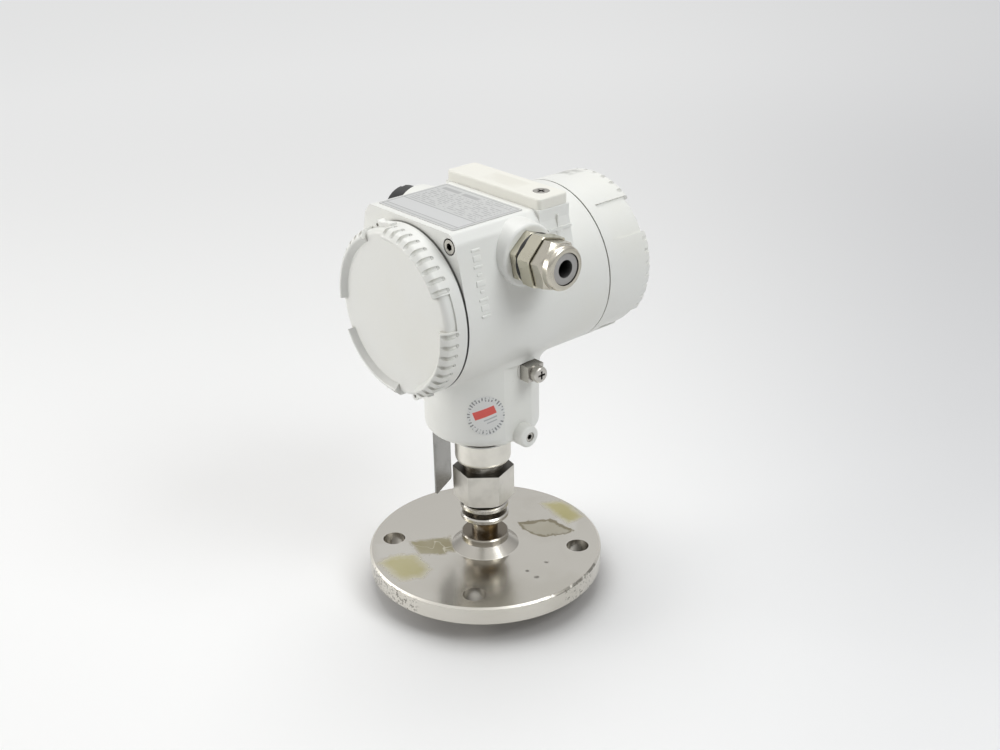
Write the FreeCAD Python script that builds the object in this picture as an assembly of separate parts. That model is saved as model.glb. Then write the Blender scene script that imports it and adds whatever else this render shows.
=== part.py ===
import FreeCAD, Part

"""Flange-mounted pressure transmitter: a two-compartment cast housing that swivels on a sensor neck.

Millimetres. +Z runs up the stem from the centre of the flange's mating face, the barrel of the housing
lies along Y with the wiring cover at -Y, and the cable gland points along +X.
"""
import math
import os

from FreeCAD import Vector

# Running and seating clearances
FIT = 0.05              # radial room of a turning or sliding fit
LOOSE = 0.2             # room round a piece that is pushed in by hand
SEAT = 0.1              # room round a rubber ring in its groove
SAME = 0.005            # lengths this close count as equal when edges are picked

# Process flange with its hub and raised spigot
FLANGE_R = 62.5
FLANGE_T = 10.5
FLANGE_CHAMFER = 0.9
BOLT_CIRCLE_R = 50.0
BOLT_HOLE_R = 6.0
BOLT_COUNT = 4
BOLT_START = 43.0       # degrees from +X to the first hole
SPIGOT_R = 40.0
SPIGOT_H = 10.0
SPIGOT_CHAMFER = 0.6
HUB_BASE_R = 18.3
HUB_CONE_H = 4.3
HUB_R = 12.7
HUB_H = 8.2
FILL_BORE_R = 1.5       # bore that carries the fill fluid up to the sensor

# Separating diaphragm in the spigot's face
DIAPHRAGM_R = 33.0
DIAPHRAGM_T = 0.4
DIAPHRAGM_RECESS = 0.8
WAVE_COUNT = 4
WAVE_DEPTH = 0.45
FLUID_GAP = 0.6

# Finned stem, hexagon and sensor neck
STEM_H = 21.5
STEM_R = 7.0
FIN_R = 12.9
FIN_T = 3.1
FIN_PITCH = 6.3
FIN_COUNT = 2
FIN_RISE = 9.6          # hub top to the lowest fin
FIN_CHAMFER = 0.7
HEX_FLATS = 28.0
HEX_H = 18.2
HEX_TURN = -40.8        # direction that one flat of the hexagon faces, in degrees from +X
HEX_CHAMFER = 1.6
SHANK_R = 10.5
SHANK_H = 3.8
NECK_R = 14.7
NECK_SHOWN = 20.6
NECK_ROUND = 3.4
COLLAR_R = 20.0
COLLAR_H = 20.0
COLLAR_RISE = 0.5
COLLAR_WALL = 6.0
LOCK_GROOVE_W = 5.4
LOCK_GROOVE_DEPTH = 1.6
NECK_RING_R = 1.1
NECK_RING_RISE = 14.0
SENSOR_H = 12.0
SENSOR_STEP_H = 4.0
SENSOR_STEP_W = 2.8
SENSOR_PIN_R = 0.6
SENSOR_PIN_COUNT = 6
SENSOR_PIN_H = 4.0
SENSOR_PIN_ROOM = 1.0

# Cast housing: barrel, top platform and turret
BARREL_R = 42.2
BARREL_FRONT = -41.6
BARREL_REAR = 49.5
BARREL_WALL = 6.2
TURRET_SHOWN = 35.4     # turret's lower face to the barrel's underside
TOP_OVER = 2.3          # platform's top above the barrel
TOP_INSET = 11.7        # barrel's side to the platform's edge
SHOULDER_INSET = 7.9
SHOULDER_DROP = 4.6
SHOULDER_ROUND = 4.0
TOP_ROUND = 3.0
BLOCK_FRONT = 9.3
BLOCK_REAR = 28.6
BLOCK_INSET = 7.6
BLOCK_EDGE = 0.8
PARTITION_Y = 6.0
PARTITION_T = 4.0
TURRET_R = 29.7
TURRET_ROUND = 6.0
TURRET_BLEND = 8.0
FLAT_DEPTH = 1.4        # turret's side to the flats on it
FLAT_OVERLAP = 8.2      # how far the flats run up beside the barrel
PAD_Y = 15.0            # half-width of the pads that carry the flats
PAD_CORNER = 8.0
PAD_ROUND = 4.0
PASSAGE_Y = 14.0
PASSAGE_R = 4.5

# Screwed covers
THREAD_INSET = 4.2
THREAD_L = 9.0
CAP_GAP = 0.8
CAP_WALL = 3.5
CAP_BAND = 6.0
GAP_DROP = 1.0          # how far the spaces between the lugs lie below them
CAP_RING_R = 1.2
LUG_COUNT = 4
LUG_TOP_ANGLE = 90.0    # degrees from a cover's own X to the top
LUG_RISE = 3.3
LUG_SLOPE = 3.6         # cover's side in to the lug's ridge
LUG_WIDTH = 6.2         # cover's side in to the lug's inner foot
LUG_ROUND = 3.0
GROOVE_R = 1.15
GROOVE_DEPTH = 0.9      # at the groove's round end
FRONT_CAP_L = 11.2
FRONT_LUG_ANGLE = 66.0  # degrees that one lug covers
FRONT_LUG_AT = 29.3     # degrees clockwise from the top to the first lug, seen from outside
FRONT_GROOVE_COUNT = 9
FRONT_GROOVE_ANGLE = 7.6
FRONT_GROOVE_L = 8.2
REAR_CAP_L = 28.2
REAR_LUG_ANGLE = 62.0
REAR_LUG_AT = -4.5
REAR_GROOVE_COUNT = 7
REAR_GROOVE_ANGLE = 8.6
REAR_GROOVE_L = 5.5
EAR_R = 2.2             # ears for a seal wire beside two lugs of the front cover
EAR_OUT = 0.1           # middle of an ear beyond the cover's side
EAR_LOW = 3.8
EAR_T = 4.0
EAR_ANGLE = 14.0        # degrees from the lug's end to the ear's middle
EAR_HOLE_R = 0.9
EAR_WALL_OUT = 1.0      # outer face of the wall beyond the ear's middle

# Cable entries
ENTRY_Y = -4.0
ENTRY_DROP = 16.7       # platform's top to the entries
ENTRY_SHORT = 0.2       # barrel's side in to the entry bosses' faces
ENTRY_R = 15.3
ENTRY_ROOT_R = 16.4
ENTRY_ROUND = 1.6
ENTRY_BORE_R = 9.9
ENTRY_BOSS_L = 14.0
GLAND_FLATS = 24.0
GLAND_TURN = 45.0       # degrees
LOCKNUT_FLATS = 22.8
LOCKNUT_TURN = 40.0
LOCKNUT_T = 4.2
GLAND_WASHER_R = 12.2
GLAND_WASHER_T = 1.9
GLAND_SHANK_L = 10.0
GLAND_HEX_T = 7.6
GLAND_NOSE_L = 6.6
GLAND_NOSE_R = 9.2
GLAND_NOSE_BORE_R = 7.8
GLAND_BORE_R = 6.2
NUT_GAP = 0.4
NUT_HEX_L = 5.4
NUT_TAPER_L = 2.0
NUT_L = 11.0
NUT_FLATS = 22.0
NUT_TURN = 46.0
NUT_ROUND_R = 10.8
NUT_LIP = 2.6
NUT_DOME = 2.2
NUT_MOUTH_R = 7.8
SEAL_R = 7.5
SEAL_BORE_R = 4.3
SEAL_FLANGE_R = 8.9
SEAL_FLANGE_T = 1.9
SEAL_RECESS = 0.7
PLUG_R = 12.4
PLUG_HEAD_L = 12.6
PLUG_ROUND = 2.2
PLUG_SHANK_L = 11.0
PLUG_SLOT_W = 3.0
PLUG_SLOT_DEPTH = 2.5
PLUG_GASKET_T = 1.2

# Nameplate, button cover and push buttons
PLATE_INSET = 2.2       # platform's edge to the plate
PLATE_Y = 42.8
PLATE_FRONT = -38.0
PLATE_T = 0.8
PLATE_RECESS = 0.4
PLATE_ROUND = 1.2
COVER_H = 5.3
COVER_INSET = 0.3
COVER_EDGE = 1.0
COVER_ROUND = 2.0
COVER_HOLE_Y = 19.9     # row of screw and push buttons
COVER_SCREW_INSET = 9.8 # cover's end to its screw
COVER_SCREW_R = 3.9
COVER_SCREW_HEAD = 2.0
BUTTON_X = 9.0
BUTTON_R = 3.0
BUTTON_HEAD_R = 4.2
BUTTON_HEAD_T = 1.2
BUTTON_TRAVEL = 1.8
BUTTON_SUNK = 0.3       # top of the head below the platform
BUTTON_TAIL = 2.0       # how far the plunger reaches into the rear compartment
SPRING_WELL_R = 4.7
SPRING_CLOSED_H = 2.2
SPRING_R = 3.85
SPRING_WIRE_R = 0.3
SPRING_TURN_COUNT = 2

# Screws: small machine screws in the castings
SCREW_R = 2.0
SCREW_L = 8.0
DRIVE_R = 1.1           # half the width of a screw's driving recess
DRIVE_DEPTH = 1.2
PAN_R = 4.2
PAN_H = 3.0
PAN_ROUND = 1.2
LOCK_INSET = 0.9        # platform's edge to the lock screw
LOCK_DROP = 6.3
LOCK_R = 3.4
LOCK_RECESS_R = 4.1
LOCK_HEAD_H = 3.2
LOCK_SOCKET_R = 1.7
LOCK_SOCKET_DEPTH = 2.2
SET_Y = 2.0
SET_RISE = 4.7          # turret's lower face to the swivel screw
SET_R = 2.6
SET_BOSS_R = 5.8
SET_BOSS_RISE = 6.7     # boss's face beyond the turret's flat
SET_BOSS_ROUND = 1.5
SET_SUNK = 0.6
GROUND_Y = 6.2
GROUND_RISE = 39.2      # turret's lower face to the earth screw
GROUND_BOSS_R = 6.4
GROUND_BOSS_RISE = 0.5  # boss's face beyond the turret's flat
CLAMP_Y = 10.0
CLAMP_Z = 8.2
CLAMP_H = 6.1
CLAMP_WALL = 1.4
WASHER_R = 4.0
WASHER_T = 1.2
SEAL_LUG_Y = 20.8
SEAL_LUG_DROP = 11.5
SEAL_LUG_L = 15.0
SEAL_LUG_T = 1.4
SEAL_LUG_REACH = 2.2
SEAL_CUP_R = 2.5
SEAL_CUP_H = 3.2
SEAL_RIB_H = 6.0
SEAL_RIB_W = 1.3
SEAL_RIB_INSET = 1.0

# Inside the two compartments
BLOCK_DISC_GAP = 3.0    # block's edge to the bore
BLOCK_DISC_T = 13.0
BLOCK_ENTRY_GAP = 4.9   # block's flat top below the cable entries
TERMINAL_COUNT = 3
TERMINAL_PITCH = 15.0
TERMINAL_RISE = -4.0
TERMINAL_SLOT_W = 10.5
TERMINAL_SLOT_DEPTH = 5.0
MODULE_GAP = 2.5        # module's edge to the bore
MODULE_T = 20.0
MODULE_STEP_W = 11.0
MODULE_STEP_T = 5.0
MODULE_NOTCH_X = 14.0   # half-width of the notch that leaves room for the plungers
MODULE_NOTCH_DEPTH = 4.5
MODULE_SCREW_INSET = 6.0

# Wired-on tag below the housing
TAG_W = 19.4
TAG_H = 40.0
TAG_T = 0.8
TAG_DIST = 23.4         # stem axis to the plate
TAG_FACE = 206.0        # direction that the plate faces, in degrees from +X
TAG_ROUND = 1.5
TAG_HOLE_R = 2.9
TAG_HOLE_DROP = 4.0
TAG_DROP = 2.4          # turret's lower face to the plate's top
WIRE_R = 0.5
WIRE_KNOT_R = 0.6

# Levels and places worked out from the dimensions above
HUB_TOP = FLANGE_T + HUB_H
HEX_Z = HUB_TOP + STEM_H
HEX_TOP = HEX_Z + HEX_H
NECK_Z = HEX_TOP + SHANK_H
TURRET_Z = NECK_Z + NECK_SHOWN
AXIS_RISE = TURRET_SHOWN + BARREL_R
AXIS_Z = TURRET_Z + AXIS_RISE
TOP_RISE = BARREL_R + TOP_OVER
TOP_Z = AXIS_Z + TOP_RISE
TOP_X = BARREL_R - TOP_INSET
SHOULDER_X = BARREL_R - SHOULDER_INSET
BLOCK_X = BARREL_R - BLOCK_INSET
COVER_X = BLOCK_X - COVER_INSET
PLATE_X = TOP_X - PLATE_INSET
BORE_R = BARREL_R - BARREL_WALL
THREAD_R = BARREL_R - THREAD_INSET
COVER_SCREW_X = COVER_X - COVER_SCREW_INSET
FLAT_X = TURRET_R - FLAT_DEPTH
SET_BOSS_X = FLAT_X + SET_BOSS_RISE
GROUND_BOSS_X = FLAT_X + GROUND_BOSS_RISE
FLAT_TOP = BARREL_R - FLAT_OVERLAP
LUG_TOP_R = BARREL_R - LUG_SLOPE
LUG_IN_R = BARREL_R - LUG_WIDTH
EAR_AT = BARREL_R + EAR_OUT
LUG_STEP = 360.0 / LUG_COUNT
ENTRY_RISE = TOP_RISE - ENTRY_DROP
ENTRY_FACE = BARREL_R - ENTRY_SHORT
ENTRY_ROOT_X = ENTRY_FACE - ENTRY_BOSS_L
LOCK_X = TOP_X - LOCK_INSET
LOCK_RISE = TOP_RISE - LOCK_DROP
SEAL_LUG_RISE = TOP_RISE - SEAL_LUG_DROP
BLOCK_DISC_R = BORE_R - BLOCK_DISC_GAP
BLOCK_DISC_TOP = ENTRY_RISE - ENTRY_BORE_R - BLOCK_ENTRY_GAP
MODULE_R = BORE_R - MODULE_GAP
MODULE_STEP_R = MODULE_R - MODULE_STEP_W
MODULE_NOTCH_RISE = MODULE_R - MODULE_NOTCH_DEPTH
MODULE_SCREW_AT = MODULE_R - MODULE_SCREW_INSET
COLLAR_Z = TURRET_Z + COLLAR_RISE
COLLAR_TOP = COLLAR_Z + COLLAR_H
ENTRY_Z = AXIS_Z + ENTRY_RISE
FRONT_SEAM = BARREL_FRONT - CAP_GAP
REAR_SEAM = BARREL_REAR + CAP_GAP
RING_MID_R = THREAD_R + SEAT + CAP_RING_R
RING_WELL_R = RING_MID_R + CAP_RING_R + SEAT
RING_WELL_DEPTH = 2 * CAP_RING_R + 2 * SEAT - CAP_GAP
GLAND_HEX_X = LOCKNUT_T + GLAND_WASHER_T
GLAND_NOSE_X = GLAND_HEX_X + GLAND_HEX_T
NUT_X = GLAND_NOSE_X + NUT_GAP
NUT_END = NUT_X + NUT_L
SET_Z = TURRET_Z + SET_RISE
GROUND_Z = TURRET_Z + GROUND_RISE
BUTTON_HEAD_Z = TOP_Z - BUTTON_SUNK - BUTTON_HEAD_T
SPRING_WELL_Z = BUTTON_HEAD_Z - BUTTON_TRAVEL - SPRING_CLOSED_H
TAG_TOP = TURRET_Z - TAG_DROP
TAG_HOLE_Z = TAG_TOP - TAG_HOLE_DROP

UP = Vector(0, 0, 1)
FORWARD = Vector(0, -1, 0)
BACKWARD = Vector(0, 1, 0)
GLAND_SIDE = Vector(1, 0, 0)
PLUG_SIDE = Vector(-1, 0, 0)


def outline(corners):
    """Closed wire in the XZ plane. A corner given as (x, z, radius) is rounded."""
    ends = []
    for i, corner in enumerate(corners):
        here = Vector(corner[0], 0, corner[1])
        if len(corner) == 2:
            ends.append((here, None, here))
            continue
        back = (Vector(corners[i - 1][0], 0, corners[i - 1][1]) - here).normalize()
        after = corners[(i + 1) % len(corners)]
        ahead = (Vector(after[0], 0, after[1]) - here).normalize()
        half = back.getAngle(ahead) / 2
        inward = (back + ahead).normalize()
        reach = corner[2] / math.tan(half)
        middle = here + inward * (corner[2] / math.sin(half) - corner[2])
        ends.append((here + back * reach, middle, here + ahead * reach))
    edges = []
    for i, (start, middle, end) in enumerate(ends):
        if middle:
            edges.append(Part.Arc(start, middle, end).toShape())
        following = ends[(i + 1) % len(ends)][0]
        if (following - end).Length > 1e-6:
            edges.append(Part.makeLine(end, following))
    return Part.Wire(edges)


def turned(corners, sweep=360):
    """Solid of revolution about Z from a profile of (radius, height) corners."""
    return Part.Face(outline(corners)).revolve(Vector(0, 0, 0), UP, sweep)


def prism(corners, start, end):
    """Section in XZ pushed along Y from start to end."""
    solid = Part.Face(outline(corners)).extrude(Vector(0, end - start, 0))
    solid.translate(Vector(0, start, 0))
    return solid


def slab(corners, low, high):
    """Outline in plan, its corners given as (x, y), pushed up from low to high."""
    solid = Part.Face(outline(corners)).extrude(Vector(0, low - high, 0))
    solid.rotate(Vector(0, 0, 0), Vector(1, 0, 0), -90)
    solid.translate(Vector(0, 0, low))
    return solid


def rectangle(half_x, y0, y1, radius):
    """Corners of an upright rectangle in plan with all four corners rounded."""
    return [(-half_x, y0, radius), (half_x, y0, radius), (half_x, y1, radius), (-half_x, y1, radius)]


def disc(radius, low, high):
    return Part.makeCylinder(radius, high - low, Vector(0, 0, low))


def tube(outer, inner, low, high):
    return disc(outer, low, high).cut(disc(inner, low, high))


def hexagon(flats, low, high, turn=0.0):
    """Hexagonal bar about Z with one flat facing the direction of turn."""
    corner = flats / math.sqrt(3)
    angles = [math.radians(turn + 30 + 60 * i) for i in range(7)]
    points = [Vector(corner * math.cos(a), corner * math.sin(a), low) for a in angles]
    return Part.Face(Part.makePolygon(points)).extrude(Vector(0, 0, high - low))


def nut_body(flats, low, high, chamfer, turn=0.0, square_top=False):
    """Hexagon whose corners are turned off at both ends, or only below, as on a machined nut."""
    corner = flats / math.sqrt(3)
    face = corner - chamfer
    fall = chamfer * math.tan(math.radians(30))
    lower = [(0, low), (face, low), (corner, low + fall)]
    upper = [(corner, high - fall), (face, high), (0, high)]
    if square_top:
        upper = [(corner, high), (0, high)]
    return hexagon(flats, low, high, turn).common(turned(lower + upper))


def aim(shape, at, direction):
    """Copy of a shape made about +Z, with its axis laid along a direction from a point."""
    placed = shape.copy()
    placed.Placement = FreeCAD.Placement(at, FreeCAD.Rotation(UP, direction)).multiply(placed.Placement)
    return placed


def around(shape, count, first=0.0):
    """Copies of a shape evenly spaced about Z."""
    copies = []
    for i in range(count):
        copy = shape.copy()
        copy.rotate(Vector(0, 0, 0), UP, first + 360.0 * i / count)
        copies.append(copy)
    return copies


def moved(shape, x=0.0, y=0.0, z=0.0):
    copy = shape.copy()
    copy.translate(Vector(x, y, z))
    return copy


def cross_recess(top):
    """Cutter for the driving cross in a screw head whose top is at the given height."""
    corner = Vector(-2 * DRIVE_R, -DRIVE_R / 2, top - DRIVE_DEPTH)
    bar = Part.makeBox(4 * DRIVE_R, DRIVE_R, DRIVE_DEPTH, corner)
    other = bar.copy()
    other.rotate(Vector(0, 0, 0), UP, 90)
    return bar.fuse(other)


def pan_screw(length):
    """Pan-head machine screw standing on z = 0 with its shank below."""
    head = turned([(0, 0), (PAN_R, 0), (PAN_R, PAN_H, PAN_ROUND), (0, PAN_H)])
    return head.fuse(disc(SCREW_R, -length, 0)).cut(cross_recess(PAN_H))


def process_flange():
    """Turned flange: plate, conical hub above, spigot below with the diaphragm's seat."""
    seat = SPIGOT_H - DIAPHRAGM_RECESS
    chamber = seat - DIAPHRAGM_T - FLUID_GAP
    body = turned([
        (FILL_BORE_R, -chamber),
        (DIAPHRAGM_R - FLUID_GAP, -chamber),
        (DIAPHRAGM_R - FLUID_GAP, -seat + DIAPHRAGM_T),
        (DIAPHRAGM_R, -seat + DIAPHRAGM_T),
        (DIAPHRAGM_R, -SPIGOT_H),
        (SPIGOT_R - SPIGOT_CHAMFER, -SPIGOT_H),
        (SPIGOT_R, -SPIGOT_H + SPIGOT_CHAMFER),
        (SPIGOT_R, 0),
        (FLANGE_R - FLANGE_CHAMFER, 0),
        (FLANGE_R, FLANGE_CHAMFER),
        (FLANGE_R, FLANGE_T - FLANGE_CHAMFER),
        (FLANGE_R - FLANGE_CHAMFER, FLANGE_T),
        (HUB_BASE_R, FLANGE_T),
        (HUB_R, FLANGE_T + HUB_CONE_H),
        (HUB_R, HUB_TOP - FIN_CHAMFER),
        (HUB_R - FIN_CHAMFER, HUB_TOP),
        (FILL_BORE_R, HUB_TOP),
    ])
    hole = moved(disc(BOLT_HOLE_R, 0, FLANGE_T), x=BOLT_CIRCLE_R)
    return body.cut(around(hole, BOLT_COUNT, BOLT_START))


def diaphragm():
    """Thin sheet pressed into rings, its edge let into the spigot."""
    low = -SPIGOT_H + DIAPHRAGM_RECESS
    pitch = (DIAPHRAGM_R - FLUID_GAP - DIAPHRAGM_R / 4) / (2 * WAVE_COUNT)
    under = [(0, low), (DIAPHRAGM_R / 4, low)]
    for i in range(1, 2 * WAVE_COUNT):
        under.append((DIAPHRAGM_R / 4 + i * pitch, low - WAVE_DEPTH * (i % 2)))
    under.append((DIAPHRAGM_R - FLUID_GAP, low))
    under.append((DIAPHRAGM_R, low))
    over = [(r, z + DIAPHRAGM_T) for r, z in reversed(under)]
    return turned(under + over)


def cooling_stem():
    """Slim core with square fins between the hub and the hexagon."""
    profile = [(FILL_BORE_R, HUB_TOP), (STEM_R, HUB_TOP)]
    for i in range(FIN_COUNT):
        low = HUB_TOP + FIN_RISE + i * FIN_PITCH
        profile.append((STEM_R, low))
        profile.append((FIN_R - FIN_CHAMFER, low))
        profile.append((FIN_R, low + FIN_CHAMFER))
        profile.append((FIN_R, low + FIN_T - FIN_CHAMFER))
        profile.append((FIN_R - FIN_CHAMFER, low + FIN_T))
        profile.append((STEM_R, low + FIN_T))
    return turned(profile + [(STEM_R, HEX_Z), (FILL_BORE_R, HEX_Z)])


def hex_adapter():
    """Hexagon that the neck is screwed into."""
    body = nut_body(HEX_FLATS, HEX_Z, HEX_TOP, HEX_CHAMFER, HEX_TURN, True)
    return body.cut(disc(FILL_BORE_R, HEX_Z, HEX_TOP))


def sensor_neck():
    """Neck below the housing and the collar that the housing turns on, with a pocket for the sensor."""
    low = COLLAR_Z
    inner = COLLAR_R - COLLAR_WALL
    groove_mid = SET_Z
    ring_mid = low + NECK_RING_RISE
    ring_half = NECK_RING_R + SEAT
    lock_r = COLLAR_R - LOCK_GROOVE_DEPTH
    ring_r = COLLAR_R - 2 * NECK_RING_R
    return turned([
        (FILL_BORE_R, HEX_TOP),
        (SHANK_R, HEX_TOP),
        (SHANK_R, NECK_Z),
        (NECK_R, NECK_Z, NECK_ROUND),
        (NECK_R, low),
        (COLLAR_R, low),
        (COLLAR_R, groove_mid - LOCK_GROOVE_W / 2),
        (lock_r, groove_mid - LOCK_GROOVE_W / 2),
        (lock_r, groove_mid + LOCK_GROOVE_W / 2),
        (COLLAR_R, groove_mid + LOCK_GROOVE_W / 2),
        (COLLAR_R, ring_mid - ring_half),
        (ring_r, ring_mid - ring_half),
        (ring_r, ring_mid + ring_half),
        (COLLAR_R, ring_mid + ring_half),
        (COLLAR_R, COLLAR_TOP),
        (inner, COLLAR_TOP),
        (inner, COLLAR_TOP - SENSOR_H),
        (FILL_BORE_R, COLLAR_TOP - SENSOR_H),
    ])


def neck_oring():
    ring = Part.makeTorus(COLLAR_R - NECK_RING_R, NECK_RING_R)
    return moved(ring, z=COLLAR_Z + NECK_RING_RISE)


def sensor_module():
    """Measuring cell: a welded can with glass-sealed pins, standing in the neck's pocket."""
    radius = COLLAR_R - COLLAR_WALL - FIT
    floor = COLLAR_TOP - SENSOR_H
    can = turned([
        (0, floor),
        (radius, floor),
        (radius, COLLAR_TOP - SENSOR_STEP_H),
        (radius - SENSOR_STEP_W, COLLAR_TOP - SENSOR_STEP_H),
        (radius - SENSOR_STEP_W, COLLAR_TOP),
        (0, COLLAR_TOP),
    ])
    pin = moved(disc(SENSOR_PIN_R, COLLAR_TOP, COLLAR_TOP + SENSOR_PIN_H), x=radius / 2)
    return can.fuse(around(pin, SENSOR_PIN_COUNT))


def tangent_point(x, z, radius):
    """Where the line from (x, z) touches a circle about the origin, on the side of rising x."""
    angle = math.atan2(z, x) - math.acos(radius / math.hypot(x, z))
    return radius * math.cos(angle), radius * math.sin(angle)


def top_section(side):
    """Section above the barrel axis: the corners on the right given from the foot up, then their mirror."""
    left = [(-corner[0],) + tuple(corner[1:]) for corner in reversed(side)]
    return [(corner[0], corner[1] + AXIS_Z) + tuple(corner[2:]) for corner in side + left] + [(0, AXIS_Z)]


def top_solids():
    """Flat platform that leaves the barrel's sides tangentially, and the block under the button cover."""
    shoulder = (SHOULDER_X, TOP_RISE - SHOULDER_DROP)
    foot = tangent_point(*shoulder, BARREL_R - FIT)
    slope = (shoulder[1] - foot[1]) / (shoulder[0] - foot[0])
    block_foot = shoulder[1] + slope * (BLOCK_X - shoulder[0])
    platform = top_section([foot, shoulder + (SHOULDER_ROUND,), (TOP_X, TOP_RISE, TOP_ROUND)])
    block = top_section([foot, (BLOCK_X, block_foot), (BLOCK_X, TOP_RISE, BLOCK_EDGE)])
    return [prism(platform, BARREL_FRONT, BLOCK_FRONT), prism(block, BLOCK_FRONT, BLOCK_REAR)]


def turret():
    """Round foot of the casting, up to the barrel axis."""
    return turned([
        (0, TURRET_Z),
        (TURRET_R, TURRET_Z, TURRET_ROUND),
        (TURRET_R, AXIS_Z),
        (0, AXIS_Z),
    ])


def blended_casting():
    """Barrel and turret with a rolled blend where they meet."""
    length = BARREL_REAR - BARREL_FRONT
    barrel = aim(disc(BARREL_R, 0, length), Vector(0, BARREL_FRONT, AXIS_Z), BACKWARD)
    casting = barrel.fuse(turret()).removeSplitter()
    meeting = []
    for edge in casting.Edges:
        points = edge.discretize(9)
        on_turret = all(abs(math.hypot(p.x, p.y) - TURRET_R) < SAME for p in points)
        if on_turret and min(p.z for p in points) > TURRET_Z + TURRET_ROUND + SAME:
            meeting.append(edge)
    return casting.makeFillet(TURRET_BLEND, meeting)


def side_flat(side):
    """Cutter for a flat on one side of the turret."""
    height = AXIS_RISE - FLAT_TOP + TURRET_ROUND
    low = TURRET_Z - TURRET_ROUND
    x = FLAT_X if side > 0 else -FLAT_X - TURRET_R
    return Part.makeBox(TURRET_R, 4 * TURRET_R, height, Vector(x, -2 * TURRET_R, low))


def side_pad(side):
    """Pad under a flat: rounded at its corners and along the foot, running up into the barrel."""
    x = side * FLAT_X
    pad = slab([(0, -PAD_Y), (x, -PAD_Y, PAD_CORNER), (x, PAD_Y, PAD_CORNER), (0, PAD_Y)],
               TURRET_Z, AXIS_Z - FLAT_TOP + PAD_ROUND)
    foot = [edge for edge in pad.Edges
            if edge.BoundBox.ZMax < TURRET_Z + SAME and abs(edge.CenterOfMass.x) > SAME]
    return pad.makeFillet(PAD_ROUND, foot)


def entry_boss(direction):
    """Tapered boss for a cable entry, as cast, on one side of the barrel."""
    boss = turned([
        (0, ENTRY_ROOT_X),
        (ENTRY_ROOT_R, ENTRY_ROOT_X),
        (ENTRY_R, ENTRY_FACE, ENTRY_ROUND),
        (0, ENTRY_FACE),
    ])
    return aim(boss, Vector(0, ENTRY_Y, ENTRY_Z), direction)


def turret_bosses():
    """Bosses for the swivel screw and the earth screw on the gland side of the turret."""
    lock = turned([(0, 0), (SET_BOSS_R, 0), (SET_BOSS_R, SET_BOSS_X, SET_BOSS_ROUND), (0, SET_BOSS_X)])
    earth = turned([(0, 0), (GROUND_BOSS_R, 0), (GROUND_BOSS_R, GROUND_BOSS_X), (0, GROUND_BOSS_X)])
    return [
        aim(lock, Vector(0, SET_Y, SET_Z), GLAND_SIDE),
        aim(earth, Vector(0, GROUND_Y, GROUND_Z), GLAND_SIDE),
    ]


def sealing_lug():
    """Ledge with a wire-seal cup under it and a rib above and below, beside the button cover."""
    base = BLOCK_X - SEAL_LUG_REACH
    depth = 2 * SEAL_LUG_REACH
    level = AXIS_Z + SEAL_LUG_RISE
    ledge = Part.makeBox(depth, SEAL_LUG_L, SEAL_LUG_T, Vector(base, SEAL_LUG_Y - SEAL_LUG_L / 2, level))
    rib_y = SEAL_LUG_Y - SEAL_RIB_W / 2
    above = Vector(base, rib_y, level + SEAL_LUG_T)
    below = Vector(base, rib_y, level - SEAL_CUP_H - SEAL_RIB_H)
    rib_above = Part.makeBox(depth - SEAL_RIB_INSET, SEAL_RIB_W, SEAL_RIB_H, above)
    rib_below = Part.makeBox(depth, SEAL_RIB_W, SEAL_RIB_H, below)
    cup = disc(SEAL_CUP_R, level - SEAL_CUP_H, level)
    return [ledge, rib_above, rib_below, moved(cup, x=BLOCK_X, y=SEAL_LUG_Y)]


def compartment(depth):
    """Cutter for one compartment from its open rim inwards: ring seat, thread and plain bore."""
    return turned([
        (0, 0),
        (RING_WELL_R, 0),
        (RING_WELL_R, RING_WELL_DEPTH),
        (THREAD_R + FIT, RING_WELL_DEPTH),
        (THREAD_R + FIT, THREAD_L + CAP_GAP + RING_WELL_DEPTH),
        (BORE_R, THREAD_L + CAP_GAP + RING_WELL_DEPTH),
        (BORE_R, depth),
        (0, depth),
    ])


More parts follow.
